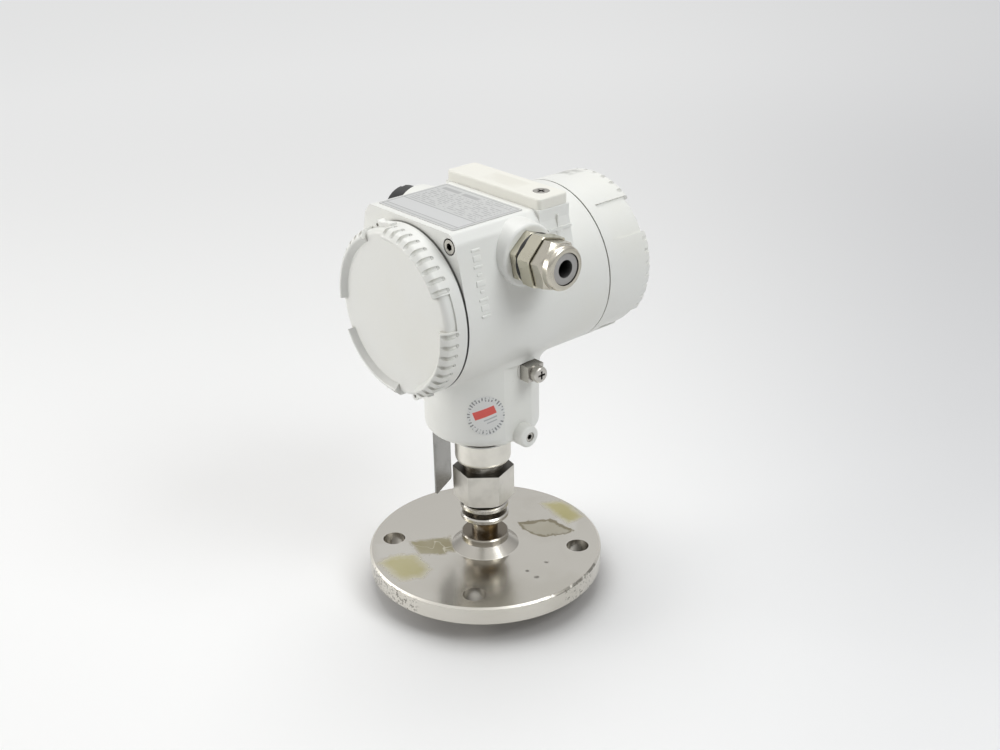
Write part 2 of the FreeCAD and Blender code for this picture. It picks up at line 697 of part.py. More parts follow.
def housing_cuts():
    """Everything machined out of the casting."""
    front = aim(compartment(PARTITION_Y - BARREL_FRONT), Vector(0, BARREL_FRONT, AXIS_Z), BACKWARD)
    rear_depth = BARREL_REAR - PARTITION_Y - PARTITION_T
    rear = aim(compartment(rear_depth), Vector(0, BARREL_REAR, AXIS_Z), FORWARD)
    entry = disc(ENTRY_BORE_R, 0, ENTRY_FACE)
    entry_at = Vector(0, ENTRY_Y, ENTRY_Z)
    collar = disc(COLLAR_R + FIT, TURRET_Z - SET_BOSS_R, COLLAR_TOP + LOOSE)
    pins = disc(COLLAR_R - COLLAR_WALL, COLLAR_TOP, COLLAR_TOP + SENSOR_PIN_H + SENSOR_PIN_ROOM)
    passage = moved(disc(PASSAGE_R, COLLAR_TOP, AXIS_Z), y=PASSAGE_Y)
    plate_seat = rectangle(PLATE_X, PLATE_FRONT, PLATE_FRONT + PLATE_Y, PLATE_ROUND)
    plate = slab(plate_seat, TOP_Z - PLATE_RECESS, TOP_Z)
    set_hole = aim(disc(SET_R + FIT, 0, SET_BOSS_X), Vector(0, SET_Y, SET_Z), GLAND_SIDE)
    earth_hole = aim(disc(SCREW_R + FIT, GROUND_BOSS_X - SCREW_L, GROUND_BOSS_X),
                     Vector(0, GROUND_Y, GROUND_Z), GLAND_SIDE)
    lock_seat = disc(LOCK_RECESS_R, 0, LOCK_HEAD_H).fuse(disc(SCREW_R + FIT, 0, LOCK_HEAD_H + SCREW_L))
    lock = aim(lock_seat, Vector(LOCK_X, BARREL_FRONT, AXIS_Z + LOCK_RISE), BACKWARD)
    cuts = [front, rear, aim(entry, entry_at, GLAND_SIDE), aim(entry, entry_at, PLUG_SIDE)]
    cuts += [collar, pins, passage, plate, set_hole, earth_hole, lock]
    cover_screw = disc(SCREW_R + FIT, TOP_Z - SCREW_L, TOP_Z)
    cuts.append(moved(cover_screw, COVER_SCREW_X, COVER_HOLE_Y))
    for side in (-1, 1):
        plunger = disc(BUTTON_R + FIT, AXIS_Z + BORE_R - BUTTON_TAIL, TOP_Z)
        well = disc(SPRING_WELL_R, SPRING_WELL_Z, TOP_Z)
        cuts.append(moved(plunger.fuse(well), side * BUTTON_X, COVER_HOLE_Y))
    return cuts + terminal_holes() + module_holes()


def housing():
    """The whole casting after machining."""
    casting = blended_casting().cut([side_flat(1), side_flat(-1)])
    added = top_solids() + [side_pad(1), side_pad(-1), entry_boss(GLAND_SIDE), entry_boss(PLUG_SIDE)]
    casting = casting.fuse(added + turret_bosses() + sealing_lug())
    return casting.removeSplitter().cut(housing_cuts())


def lug(length, span):
    """One raised lug of a cover, its middle over +X."""
    top = length + LUG_RISE
    body = turned([
        (LUG_IN_R - GAP_DROP, length - CAP_WALL / 2),
        (BARREL_R, CAP_BAND),
        (BARREL_R, top - LUG_RISE, LUG_ROUND),
        (LUG_TOP_R, top, GAP_DROP),
        (LUG_IN_R, length),
    ], span)
    body.rotate(Vector(0, 0, 0), UP, -span / 2)
    return body


def lug_grooves(length, groove_length, count, pitch):
    """Cutters for one lug's finger grooves: round at the end, and deeper towards the ridge."""
    top = length + LUG_RISE
    start = Vector(BARREL_R + GROOVE_R - GROOVE_DEPTH, 0, top - groove_length)
    along = Vector(LUG_TOP_R + GROOVE_R, 0, top + GROOVE_R) - start
    slot = Part.makeBox(LUG_RISE, 2 * GROOVE_R, along.Length, Vector(0, -GROOVE_R, 0))
    groove = aim(slot.fuse(disc(GROOVE_R, 0, along.Length)), start, along)
    groove = groove.fuse(Part.makeSphere(GROOVE_R, start))
    cutters = []
    for i in range(count):
        cutter = groove.copy()
        cutter.rotate(Vector(0, 0, 0), UP, (i - (count - 1) / 2) * pitch)
        cutters.append(cutter)
    return Part.makeCompound(cutters)


def cover_blank(length):
    """Cup of a screwed cover about Z, its threaded skirt below z = 0."""
    return turned([
        (0, length - CAP_WALL),
        (BORE_R - CAP_WALL / 2, length - CAP_WALL),
        (BORE_R - CAP_WALL / 2, -THREAD_L),
        (THREAD_R, -THREAD_L),
        (THREAD_R, 0),
        (BARREL_R, 0),
        (BARREL_R, CAP_BAND),
        (BARREL_R - GAP_DROP, CAP_BAND),
        (BARREL_R - GAP_DROP, length, LUG_ROUND),
        (0, length),
    ])


def seal_ear(lug_end, side):
    """Ear with a wire hole, joined to a lug's end by a low wall."""
    high = EAR_LOW + EAR_T
    inner = BARREL_R - GAP_DROP - EAR_R
    outer = EAR_AT + EAR_WALL_OUT
    wall = turned([(inner, EAR_LOW), (outer, EAR_LOW), (outer, high), (inner, high)], EAR_ANGLE)
    wall.rotate(Vector(0, 0, 0), UP, lug_end if side > 0 else lug_end - EAR_ANGLE)
    end = moved(disc(EAR_R, EAR_LOW, high), x=EAR_AT)
    hole = moved(disc(EAR_HOLE_R, EAR_LOW, high), x=EAR_AT)
    for piece in (end, hole):
        piece.rotate(Vector(0, 0, 0), UP, lug_end + side * EAR_ANGLE)
    return wall.fuse(end), hole


def front_cap():
    """Wiring cover with grooved lugs and two ears for a seal wire."""
    first = LUG_TOP_ANGLE - FRONT_LUG_AT
    lugs = around(lug(FRONT_CAP_L, FRONT_LUG_ANGLE), LUG_COUNT, first)
    upper, upper_hole = seal_ear(first + FRONT_LUG_ANGLE / 2, 1)
    lower, lower_hole = seal_ear(first - LUG_STEP - FRONT_LUG_ANGLE / 2, -1)
    grooves = lug_grooves(FRONT_CAP_L, FRONT_GROOVE_L, FRONT_GROOVE_COUNT, FRONT_GROOVE_ANGLE)
    solid = cover_blank(FRONT_CAP_L).fuse(lugs + [upper, lower]).removeSplitter()
    solid = solid.cut(around(grooves, LUG_COUNT, first) + [upper_hole, lower_hole])
    return aim(solid, Vector(0, FRONT_SEAM, AXIS_Z), FORWARD)


def rear_cap():
    """Deeper cover over the electronics."""
    first = LUG_TOP_ANGLE - REAR_LUG_AT
    lugs = around(lug(REAR_CAP_L, REAR_LUG_ANGLE), LUG_COUNT, first)
    grooves = lug_grooves(REAR_CAP_L, REAR_GROOVE_L, REAR_GROOVE_COUNT, REAR_GROOVE_ANGLE)
    solid = cover_blank(REAR_CAP_L).fuse(lugs).removeSplitter()
    solid = solid.cut(around(grooves, LUG_COUNT, first))
    return aim(solid, Vector(0, REAR_SEAM, AXIS_Z), BACKWARD)


def cap_oring(seam, inward):
    """Rubber ring round the root of a cover's thread."""
    ring = Part.makeTorus(RING_MID_R, CAP_RING_R)
    return aim(ring, Vector(0, seam + inward * (CAP_RING_R + SEAT), AXIS_Z), BACKWARD)


def front_cap_oring():
    return cap_oring(FRONT_SEAM, 1)


def rear_cap_oring():
    return cap_oring(REAR_SEAM, -1)


def terminal_places():
    """Middle of each wiring terminal across the block."""
    first = -TERMINAL_PITCH * (TERMINAL_COUNT - 1) / 2
    return [first + i * TERMINAL_PITCH for i in range(TERMINAL_COUNT)]


def terminal_holes():
    hole = aim(disc(SCREW_R + FIT, 0, PARTITION_T / 2), Vector(0, PARTITION_Y, AXIS_Z), BACKWARD)
    return [moved(hole, x=x, z=TERMINAL_RISE) for x in terminal_places()]


def terminal_block():
    """Moulded block on the partition with a bay for each wire."""
    block = disc(BLOCK_DISC_R, 0, BLOCK_DISC_T)
    block = aim(block, Vector(0, PARTITION_Y, AXIS_Z), FORWARD)
    top = Part.makeBox(3 * BLOCK_DISC_R, 3 * BLOCK_DISC_T, BLOCK_DISC_R,
                       Vector(-1.5 * BLOCK_DISC_R, PARTITION_Y - 2 * BLOCK_DISC_T, AXIS_Z + BLOCK_DISC_TOP))
    front = PARTITION_Y - BLOCK_DISC_T
    cuts = [top]
    for x in terminal_places():
        low = AXIS_Z + TERMINAL_RISE - TERMINAL_SLOT_W / 2
        cuts.append(Part.makeBox(TERMINAL_SLOT_W, TERMINAL_SLOT_DEPTH, BLOCK_DISC_R,
                                 Vector(x - TERMINAL_SLOT_W / 2, front, low)))
        screw = disc(SCREW_R + FIT, 0, BLOCK_DISC_T)
        cuts.append(aim(screw, Vector(x, PARTITION_Y, AXIS_Z + TERMINAL_RISE), FORWARD))
    return block.cut(cuts)


def terminal_screws():
    depth = BLOCK_DISC_T - TERMINAL_SLOT_DEPTH
    screw = pan_screw(depth + PARTITION_T / 2)
    seat = PARTITION_Y - depth
    return Part.makeCompound([
        aim(screw, Vector(x, seat, AXIS_Z + TERMINAL_RISE), FORWARD) for x in terminal_places()
    ])


def module_holes():
    hole = disc(SCREW_R + FIT, 0, PARTITION_T / 2)
    floor = PARTITION_Y + PARTITION_T
    return [aim(hole, Vector(side * MODULE_SCREW_AT, floor, AXIS_Z), FORWARD) for side in (-1, 1)]


def electronics_module():
    """Potted electronics on the rear of the partition, notched where the plungers come down."""
    module = turned([
        (0, 0),
        (MODULE_R, 0),
        (MODULE_R, MODULE_T - MODULE_STEP_T),
        (MODULE_STEP_R, MODULE_T - MODULE_STEP_T),
        (MODULE_STEP_R, MODULE_T),
        (0, MODULE_T),
    ])
    floor = PARTITION_Y + PARTITION_T
    module = aim(module, Vector(0, floor, AXIS_Z), BACKWARD)
    notch = Part.makeBox(2 * MODULE_NOTCH_X, MODULE_T, MODULE_R,
                         Vector(-MODULE_NOTCH_X, floor, AXIS_Z + MODULE_NOTCH_RISE))
    screw = disc(SCREW_R + FIT, 0, MODULE_T)
    holes = [aim(screw, Vector(side * MODULE_SCREW_AT, floor, AXIS_Z), BACKWARD) for side in (-1, 1)]
    return module.cut([notch] + holes)


def electronics_screws():
    seat = PARTITION_Y + PARTITION_T + MODULE_T - MODULE_STEP_T
    screw = pan_screw(MODULE_T - MODULE_STEP_T + PARTITION_T / 2)
    return Part.makeCompound([
        aim(screw, Vector(side * MODULE_SCREW_AT, seat, AXIS_Z), BACKWARD) for side in (-1, 1)
    ])


def at_entry(shape, direction):
    """Moves a piece made about Z, with z = 0 on the boss's face, to its cable entry."""
    face = Vector(direction.x * ENTRY_FACE, ENTRY_Y, ENTRY_Z)
    return aim(shape, face, direction)


def gland_locknut():
    body = nut_body(LOCKNUT_FLATS, 0, LOCKNUT_T, HEX_CHAMFER / 2, LOCKNUT_TURN)
    return at_entry(body.cut(disc(ENTRY_BORE_R, 0, LOCKNUT_T)), GLAND_SIDE)


def gland_washer():
    return at_entry(tube(GLAND_WASHER_R, ENTRY_BORE_R, LOCKNUT_T, GLAND_HEX_X), GLAND_SIDE)


def gland_body():
    """Double-ended gland body: thread into the housing, hexagon, and the nose under the dome nut."""
    shank = disc(ENTRY_BORE_R - FIT, -GLAND_SHANK_L, GLAND_HEX_X)
    hexagonal = nut_body(GLAND_FLATS, GLAND_HEX_X, GLAND_NOSE_X, HEX_CHAMFER / 2, GLAND_TURN)
    nose = disc(GLAND_NOSE_R, GLAND_NOSE_X, GLAND_NOSE_X + GLAND_NOSE_L)
    bore = disc(GLAND_BORE_R, -GLAND_SHANK_L, GLAND_NOSE_X)
    mouth = disc(GLAND_NOSE_BORE_R, GLAND_NOSE_X, GLAND_NOSE_X + GLAND_NOSE_L)
    return at_entry(shank.fuse([hexagonal, nose]).cut([bore, mouth]), GLAND_SIDE)


def gland_dome_nut():
    """Compression nut: hexagon behind, round dome in front."""
    corner = NUT_FLATS / math.sqrt(3)
    dome = turned([
        (0, NUT_X),
        (corner, NUT_X),
        (corner, NUT_X + NUT_HEX_L - NUT_TAPER_L / 2),
        (NUT_ROUND_R, NUT_X + NUT_HEX_L + NUT_TAPER_L / 2),
        (NUT_ROUND_R, NUT_END, NUT_DOME),
        (0, NUT_END),
    ])
    hexed = dome.common(hexagon(NUT_FLATS, NUT_X, NUT_END, NUT_TURN))
    thread = disc(GLAND_NOSE_R + FIT, NUT_X, NUT_END - NUT_LIP)
    mouth = disc(NUT_MOUTH_R, NUT_END - NUT_LIP, NUT_END)
    return at_entry(hexed.cut([thread, mouth]), GLAND_SIDE)


def gland_seal():
    """Rubber insert, held by its flange between the nose and the nut's lip."""
    flange_low = GLAND_NOSE_X + GLAND_NOSE_L + SEAT
    solid = turned([
        (SEAL_BORE_R, GLAND_NOSE_X + LOOSE),
        (SEAL_R, GLAND_NOSE_X + LOOSE),
        (SEAL_R, flange_low),
        (SEAL_FLANGE_R, flange_low),
        (SEAL_FLANGE_R, flange_low + SEAL_FLANGE_T),
        (SEAL_R, flange_low + SEAL_FLANGE_T),
        (SEAL_R, NUT_END - SEAL_RECESS),
        (SEAL_BORE_R, NUT_END - SEAL_RECESS),
    ])
    return at_entry(solid, GLAND_SIDE)


def plug_gasket():
    return at_entry(tube(PLUG_R, ENTRY_BORE_R, 0, PLUG_GASKET_T), PLUG_SIDE)


def blanking_plug():
    """Moulded plug in the spare cable entry, slotted for a coin or blade."""
    head = turned([
        (0, PLUG_GASKET_T),
        (PLUG_R, PLUG_GASKET_T),
        (PLUG_R, PLUG_HEAD_L, PLUG_ROUND),
        (0, PLUG_HEAD_L),
    ])
    shank = disc(ENTRY_BORE_R - FIT, -PLUG_SHANK_L, PLUG_GASKET_T)
    slot = Part.makeBox(3 * PLUG_R, PLUG_SLOT_W, PLUG_SLOT_DEPTH,
                        Vector(-1.5 * PLUG_R, -PLUG_SLOT_W / 2, PLUG_HEAD_L - PLUG_SLOT_DEPTH))
    return at_entry(head.fuse(shank).cut(slot), PLUG_SIDE)


def nameplate():
    low = TOP_Z - PLATE_RECESS
    corners = rectangle(PLATE_X - FIT, PLATE_FRONT + FIT, PLATE_FRONT + PLATE_Y - FIT, PLATE_ROUND)
    return slab(corners, low, low + PLATE_T)


def button_cover():
    """Moulded cover over the push buttons; it swings aside about its one screw."""
    y0 = BLOCK_FRONT + COVER_INSET
    y1 = BLOCK_REAR - COVER_INSET
    body = slab(rectangle(COVER_X, y0, y1, COVER_ROUND), TOP_Z, TOP_Z + COVER_H)
    rim = [edge for edge in body.Edges if abs(edge.BoundBox.ZMin - TOP_Z - COVER_H) < SAME]
    hole = disc(SCREW_R + FIT, TOP_Z, TOP_Z + COVER_H)
    head = disc(COVER_SCREW_R + LOOSE, TOP_Z + COVER_H - COVER_SCREW_HEAD, TOP_Z + COVER_H)
    return body.makeFillet(COVER_EDGE, rim).cut(moved(hole.fuse(head), COVER_SCREW_X, COVER_HOLE_Y))


def button_cover_screw():
    seat = TOP_Z + COVER_H - COVER_SCREW_HEAD
    head = disc(COVER_SCREW_R, seat, TOP_Z + COVER_H)
    screw = head.fuse(disc(SCREW_R, TOP_Z - SCREW_L + LOOSE, seat)).cut(cross_recess(TOP_Z + COVER_H))
    return moved(screw, COVER_SCREW_X, COVER_HOLE_Y)


def push_button(side):
    """Plunger with a flat head, guided through the casting into the rear compartment."""
    low = AXIS_Z + BORE_R - BUTTON_TAIL
    stalk = disc(BUTTON_R, low, BUTTON_HEAD_Z)
    head = disc(BUTTON_HEAD_R, BUTTON_HEAD_Z, BUTTON_HEAD_Z + BUTTON_HEAD_T)
    return moved(stalk.fuse(head), side * BUTTON_X, COVER_HOLE_Y)


def button_spring(side):
    """Coil between the bottom of the well and the button's head."""
    height = BUTTON_HEAD_Z - SPRING_WELL_Z - 2 * SPRING_WIRE_R - 2 * FIT
    path = Part.makeHelix(height / SPRING_TURN_COUNT, height, SPRING_R)
    w = SPRING_WIRE_R
    ends = [(-w, -w), (w, -w), (w, w), (-w, w), (-w, -w)]
    section = Part.makePolygon([Vector(SPRING_R + x, 0, z) for x, z in ends])
    coil = Part.Wire(path.Edges).makePipeShell([section], True, True)
    return moved(coil, side * BUTTON_X, COVER_HOLE_Y, SPRING_WELL_Z + SPRING_WIRE_R + FIT)


def cap_lock_screw():
    """Socket screw in the casting's front corner that keeps the wiring cover from turning."""
    head = disc(LOCK_R, 0, LOCK_HEAD_H).cut(hexagon(2 * LOCK_SOCKET_R, 0, LOCK_SOCKET_DEPTH))
    screw = head.fuse(disc(SCREW_R, LOCK_HEAD_H, LOCK_HEAD_H + SCREW_L - LOOSE))
    return aim(screw, Vector(LOCK_X, BARREL_FRONT, AXIS_Z + LOCK_RISE), BACKWARD)


def swivel_set_screw():
    """Grub screw whose tip runs in the collar's groove and holds the housing on the neck."""
    tip = math.sqrt((COLLAR_R - LOCK_GROOVE_DEPTH / 2) ** 2 - SET_Y ** 2)
    end = SET_BOSS_X - SET_SUNK
    screw = disc(SET_R, tip, end).cut(hexagon(SET_R, end - SET_R, end))
    return aim(screw, Vector(0, SET_Y, SET_Z), GLAND_SIDE)


def at_ground(shape):
    """Moves a piece made about Z, with z = 0 on the earth boss, to its place."""
    return aim(shape, Vector(GROUND_BOSS_X, GROUND_Y, GROUND_Z), GLAND_SIDE)


def ground_clamp():
    """Pressed square cup that traps the earth wire against the boss."""
    cup = Part.makeBox(CLAMP_Z, CLAMP_Y, CLAMP_H, Vector(-CLAMP_Z / 2, -CLAMP_Y / 2, 0))
    inner_z = CLAMP_Z - 2 * CLAMP_WALL
    inner_y = CLAMP_Y - 2 * CLAMP_WALL
    hollow = Part.makeBox(inner_z, inner_y, CLAMP_H - CLAMP_WALL, Vector(-inner_z / 2, -inner_y / 2, 0))
    return at_ground(cup.cut([hollow, disc(SCREW_R + FIT, 0, CLAMP_H)]))


def ground_washer():
    return at_ground(tube(WASHER_R, SCREW_R + FIT, CLAMP_H, CLAMP_H + WASHER_T))


def ground_screw():
    seat = CLAMP_H + WASHER_T
    return at_ground(moved(pan_screw(seat + SCREW_L - LOOSE), z=seat))


def tag_frame(shape):
    """Moves a piece made with X across the tag and Y outwards to the tag's side of the neck."""
    copy = shape.copy()
    copy.rotate(Vector(0, 0, 0), UP, TAG_FACE - 90)
    return copy


def tag_plate():
    """Thin plate that hangs from its wire."""
    half = TAG_W / 2
    low = TAG_TOP - TAG_H
    foot = [(-half, low, TAG_ROUND), (half, low, TAG_ROUND)]
    head = [(half, TAG_TOP, TAG_ROUND), (-half, TAG_TOP, TAG_ROUND)]
    plate = prism(foot + head, TAG_DIST, TAG_DIST + TAG_T)
    hole = Part.makeCylinder(TAG_HOLE_R, TAG_T, Vector(0, TAG_DIST, TAG_HOLE_Z), BACKWARD)
    return tag_frame(plate.cut(hole))


def tag_wire():
    """Steel wire bent round the neck, its ends twisted together in front of the tag's hole."""
    loop_r = NECK_R + WIRE_R + FIT
    tip = Vector(0, TAG_DIST + TAG_T + WIRE_R + SEAT, TAG_HOLE_Z)
    lean = math.acos(loop_r / tip.y)
    start = Vector(-loop_r * math.sin(lean), loop_r * math.cos(lean), TAG_HOLE_Z)
    finish = Vector(-start.x, start.y, TAG_HOLE_Z)
    loop = Part.Arc(start, Vector(0, -loop_r, TAG_HOLE_Z), finish).toShape()
    section = Part.Wire(Part.makeCircle(WIRE_R, start, loop.tangentAt(loop.FirstParameter)))
    ring = Part.Wire([loop]).makePipeShell([section], True, True)
    legs = [Part.makeCylinder(WIRE_R, (tip - foot).Length, foot, tip - foot) for foot in (start, finish)]
    knot = Part.makeSphere(WIRE_KNOT_R, tip)
    return tag_frame(ring.fuse(legs + [knot]).removeSplitter())


NODES = {
    "process_flange": process_flange,
    "diaphragm": diaphragm,
    "cooling_stem": cooling_stem,
    "hex_adapter": hex_adapter,
    "sensor_neck": sensor_neck,
    "neck_oring": neck_oring,
    "sensor_module": sensor_module,
    "tag_plate": tag_plate,
    "tag_wire": tag_wire,
    "housing": housing,
    "front_cap": front_cap,
    "front_cap_oring": front_cap_oring,
    "rear_cap": rear_cap,
    "rear_cap_oring": rear_cap_oring,
    "terminal_block": terminal_block,
    "terminal_screws": terminal_screws,
    "electronics_module": electronics_module,
    "electronics_screws": electronics_screws,
    "gland_locknut": gland_locknut,
    "gland_washer": gland_washer,
    "gland_body": gland_body,
    "gland_seal": gland_seal,
    "gland_dome_nut": gland_dome_nut,
    "plug_gasket": plug_gasket,
    "blanking_plug": blanking_plug,
    "nameplate": nameplate,
    "button_cover": button_cover,
    "button_cover_screw": button_cover_screw,
    "zero_button": lambda: push_button(-1),
    "span_button": lambda: push_button(1),
    "zero_spring": lambda: button_spring(-1),
    "span_spring": lambda: button_spring(1),
    "cap_lock_screw": cap_lock_screw,
    "swivel_set_screw": swivel_set_screw,
    "ground_clamp": ground_clamp,
    "ground_washer": ground_washer,
    "ground_screw": ground_screw,
}

os.makedirs("parts", exist_ok=True)
for name, make in NODES.items():
    make().exportStep(os.path.join("parts", name + ".step"))
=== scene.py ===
import math

import bpy
from mathutils import Matrix, Vector


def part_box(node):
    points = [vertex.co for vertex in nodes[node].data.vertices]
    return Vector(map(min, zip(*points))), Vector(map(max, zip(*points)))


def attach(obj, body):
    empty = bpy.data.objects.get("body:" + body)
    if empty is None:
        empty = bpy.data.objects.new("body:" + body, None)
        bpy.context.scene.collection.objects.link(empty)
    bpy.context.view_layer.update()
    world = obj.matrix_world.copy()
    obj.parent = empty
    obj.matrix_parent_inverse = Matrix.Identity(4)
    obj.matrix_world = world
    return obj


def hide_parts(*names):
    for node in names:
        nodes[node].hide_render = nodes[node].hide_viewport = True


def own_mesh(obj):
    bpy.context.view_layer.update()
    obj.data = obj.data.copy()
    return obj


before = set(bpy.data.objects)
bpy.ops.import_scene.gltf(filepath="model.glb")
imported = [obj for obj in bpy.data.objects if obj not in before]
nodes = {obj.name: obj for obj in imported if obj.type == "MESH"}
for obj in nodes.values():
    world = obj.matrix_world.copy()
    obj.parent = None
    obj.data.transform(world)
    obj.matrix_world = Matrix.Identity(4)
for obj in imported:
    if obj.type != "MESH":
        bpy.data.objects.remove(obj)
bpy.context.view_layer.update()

MM = 0.001
FLOOR_Z = -10 * MM                       # where the flange's spigot stands
FLANGE_R = 62.5 * MM
FLANGE_TOP_Z = 10.5 * MM
HUB_TOP_Z = 18.7 * MM
HEX_TOP_Z = 58.4 * MM
AXIS_Z = 160.4 * MM                      # barrel axis
BARREL_R = 42.2 * MM
SEAM_Y = -42.1 * MM                      # front cover's seam
COVER_FACE_Y = -53.0 * MM                # front cover's face between its lugs
GLAND_AXIS = (-4 * MM, 188.2 * MM)       # y and z
GLAND_BORE_R = 6.0 * MM
PLATE_Y = -16.6 * MM                     # nameplate's middle


# Shader arithmetic

class Wire:
    """A socket in a material's node tree. Arithmetic on it adds Math nodes."""

    def __init__(self, tree, socket=None):
        self.tree = tree
        self.socket = socket

    def node(self, kind, settings, sockets, out=0):
        """Adds any node: its settings first, then values or wires for its sockets."""
        made = self.tree.nodes.new("ShaderNode" + kind)
        for key, value in settings.items():
            setattr(made, key, value)
        for key, value in sockets.items():
            if isinstance(value, Wire):
                self.tree.links.new(value.socket, made.inputs[key])
            else:
                made.inputs[key].default_value = value
        return Wire(self.tree, made.outputs[out])

    def math(self, operation, *values):
        return self.node("Math", {"operation": operation}, dict(enumerate(values)))

    def __add__(self, other):
        return self.math("ADD", self, other)

    def __sub__(self, other):
        return self.math("SUBTRACT", self, other)

    def __mul__(self, other):
        return self.math("MULTIPLY", self, other)

    def __truediv__(self, other):
        return self.math("DIVIDE", self, other)

    def __pow__(self, other):
        return self.math("POWER", self, other)

    def __radd__(self, other):
        return self.math("ADD", other, self)

    def __rsub__(self, other):
        return self.math("SUBTRACT", other, self)

    def __rmul__(self, other):
        return self.math("MULTIPLY", other, self)

    def __abs__(self):
        return self.math("ABSOLUTE", self)

    def both(self, other):
        return self.math("MINIMUM", self, other)

    def either(self, other):
        return self.math("MAXIMUM", self, other)

    def rise(self, low, high):
        """0 below low, 1 above high, smooth between."""
        return self.node("MapRange", {"interpolation_type": "SMOOTHSTEP"},
                         {"Value": self, "From Min": low, "From Max": high})

    def noise(self, scale, detail=2.0, roughness=0.5):
        return self.node("TexNoise", {},
                         {"Vector": self, "Scale": scale, "Detail": detail, "Roughness": roughness})

    def drawn(self, scale):
        """The same coordinates scaled along each axis; a small scale draws a noise out along it."""
        return self.node("Mapping", {"vector_type": "POINT"}, {"Vector": self, "Scale": scale})

    def turned(self, at, angles):
        """The same coordinates seen from a frame at a point, turned by angles."""
        return self.node("Mapping", {"vector_type": "TEXTURE"},
                         {"Vector": self, "Location": at, "Rotation": angles})

    def axes(self):
        return [self.node("SeparateXYZ", {}, {"Vector": self}, out) for out in "XYZ"]


def any_of(masks):
    """The strongest of several masks."""
    strongest = masks[0]
    for mask in masks[1:]:
        strongest = strongest.either(mask)
    return strongest


def mix(share, first, second):
    return share.node("Mix", {"data_type": "RGBA"}, {0: share, 6: first, 7: second}, out=2)


def rgb(r, g, b):
    return (r, g, b, 1.0)


def darker(colour, share):
    return rgb(*(value * share for value in colour[:3]))


def start(name):
    """New material. Returns it, its Principled shader and its Object coordinates."""
    made = bpy.data.materials.new(name)
    made.use_nodes = True
    shader = made.node_tree.nodes["Principled BSDF"]
    place = Wire(made.node_tree).node("TexCoord", {}, {}, "Object")
    return made, shader, place


def feed(shader, place, links, **constants):
    """Links varying values to the shader's sockets by name, and sets constant ones."""
    for key, value in links.items():
        place.tree.links.new(value.socket, shader.inputs[key])
    for key, value in constants.items():
        shader.inputs[key.replace("_", " ").title()].default_value = value


def bump(height, strength, depth):
    return height.node("Bump", {}, {"Height": height, "Strength": strength, "Distance": depth}, "Normal")


def box_mask(x, y, x_span, y_span, soft):
    """1 inside a rectangle, falling to 0 over a soft edge. The spans and the edge are in millimetres."""
    edge = soft * MM
    sides = []
    for value, (low, high) in ((x, x_span), (y, y_span)):
        sides.append((value - low * MM).rise(-edge, edge).both(1 - (value - high * MM).rise(-edge, edge)))
    return sides[0].both(sides[1])


def patch(x, y, outline, soft):
    """1 inside a convex outline, falling to 0 over a soft edge. It runs anticlockwise, in millimetres."""
    inside = None
    for i, (x0, y0) in enumerate(outline):
        x1, y1 = outline[(i + 1) % len(outline)]
        length = math.hypot(x1 - x0, y1 - y0)
        depth = (y - y0 * MM) * ((x1 - x0) / length) - (x - x0 * MM) * ((y1 - y0) / length)
        edge = depth.rise(-soft * MM, soft * MM)
        inside = inside.both(edge) if inside else edge
    return inside


def near(place, point, radius, soft):
    """1 close to a point, falling to 0 at a radius, all in millimetres."""
    centre = tuple(value * MM for value in point)
    away = place.node("VectorMath", {"operation": "DISTANCE"}, {0: place, 1: centre}, "Value")
    return 1 - away.rise((radius - soft) * MM, radius * MM)


def corners(place, reach, low, high):
    """1 deep in a corner, a groove or a bore, 0 on an open face. The reach is in millimetres."""
    closed = place.node("AmbientOcclusion", {"samples": 6}, {"Distance": reach * MM}, "AO")
    return (1 - closed).rise(low, high)


# Paint and plastics

def white_paint():
    """Warm white powder coat on the castings: fine peel, faint yellowing, dark specks, a grey patch on the
    rear cover's top, painted shade in corners and on the front cover's lugs, and a dark seam line with
    painted shade.
    """
    made, shader, place = start("white_paint")
    x, y, z = place.axes()
    up = z - AXIS_Z
    peel = place.noise(750.0, 2.0)
    cast = place.noise(95.0, 3.0)
    cloud = place.noise(22.0, 3.0)
    yellowed = cloud.rise(0.42, 0.72)
    # Painted shade: darker deep in corners and grooves.
    corner = corners(place, 6, 0.30, 0.95)
    # Painted shade on the front cover's lugs, round its sunken face.
    on_face = 1 - y.rise(COVER_FACE_Y - 0.5 * MM, COVER_FACE_Y + 0.5 * MM)
    recess_shade = corners(place, 11, 0.10, 0.55) * on_face
    specks = place.noise(420.0, 3.0, 0.6).rise(0.72, 0.77) * cloud.rise(0.45, 0.6)
    # A grey patch on the rear cover's top.
    rear_top = box_mask(x, y, (-18, -2), (64.5, 74), 2.4) * z.rise(180 * MM, 190 * MM)
    rear_top_grey = rear_top * place.noise(170.0, 3.0).rise(0.25, 0.65)
    beyond = (x * x + up * up) ** 0.5 - BARREL_R
    # A dark joint line at the front cover's seam, with painted shade that deepens towards the bottom.
    seam = 1 - abs(y - SEAM_Y).rise(0.45 * MM, 0.75 * MM)
    seam = seam * (1 - beyond.rise(0.2 * MM, 0.5 * MM))
    seam_joint_and_shade = seam * (0.9 - 0.45 * up.rise(5 * MM, 35 * MM))
    colour = mix(yellowed * 0.5, rgb(0.81, 0.815, 0.785), rgb(0.79, 0.785, 0.725))
    colour = mix(corner * 0.55, colour, rgb(0.42, 0.40, 0.35))
    colour = mix(recess_shade * 0.45, colour, rgb(0.44, 0.42, 0.37))
    colour = mix(specks * 0.35, colour, rgb(0.36, 0.34, 0.30))
    colour = mix(rear_top_grey * 0.8, colour, rgb(0.33, 0.33, 0.31))
    colour = mix(seam_joint_and_shade, colour, rgb(0.03, 0.03, 0.028))
    feed(shader, place, {
        "Base Color": colour,
        "Roughness": 0.36 + 0.12 * cloud + 0.12 * corner,
        "Normal": bump(peel * 0.5 + cast, 0.22, 0.16 * MM),
    }, coat_weight=0.12, coat_roughness=0.25)
    return made


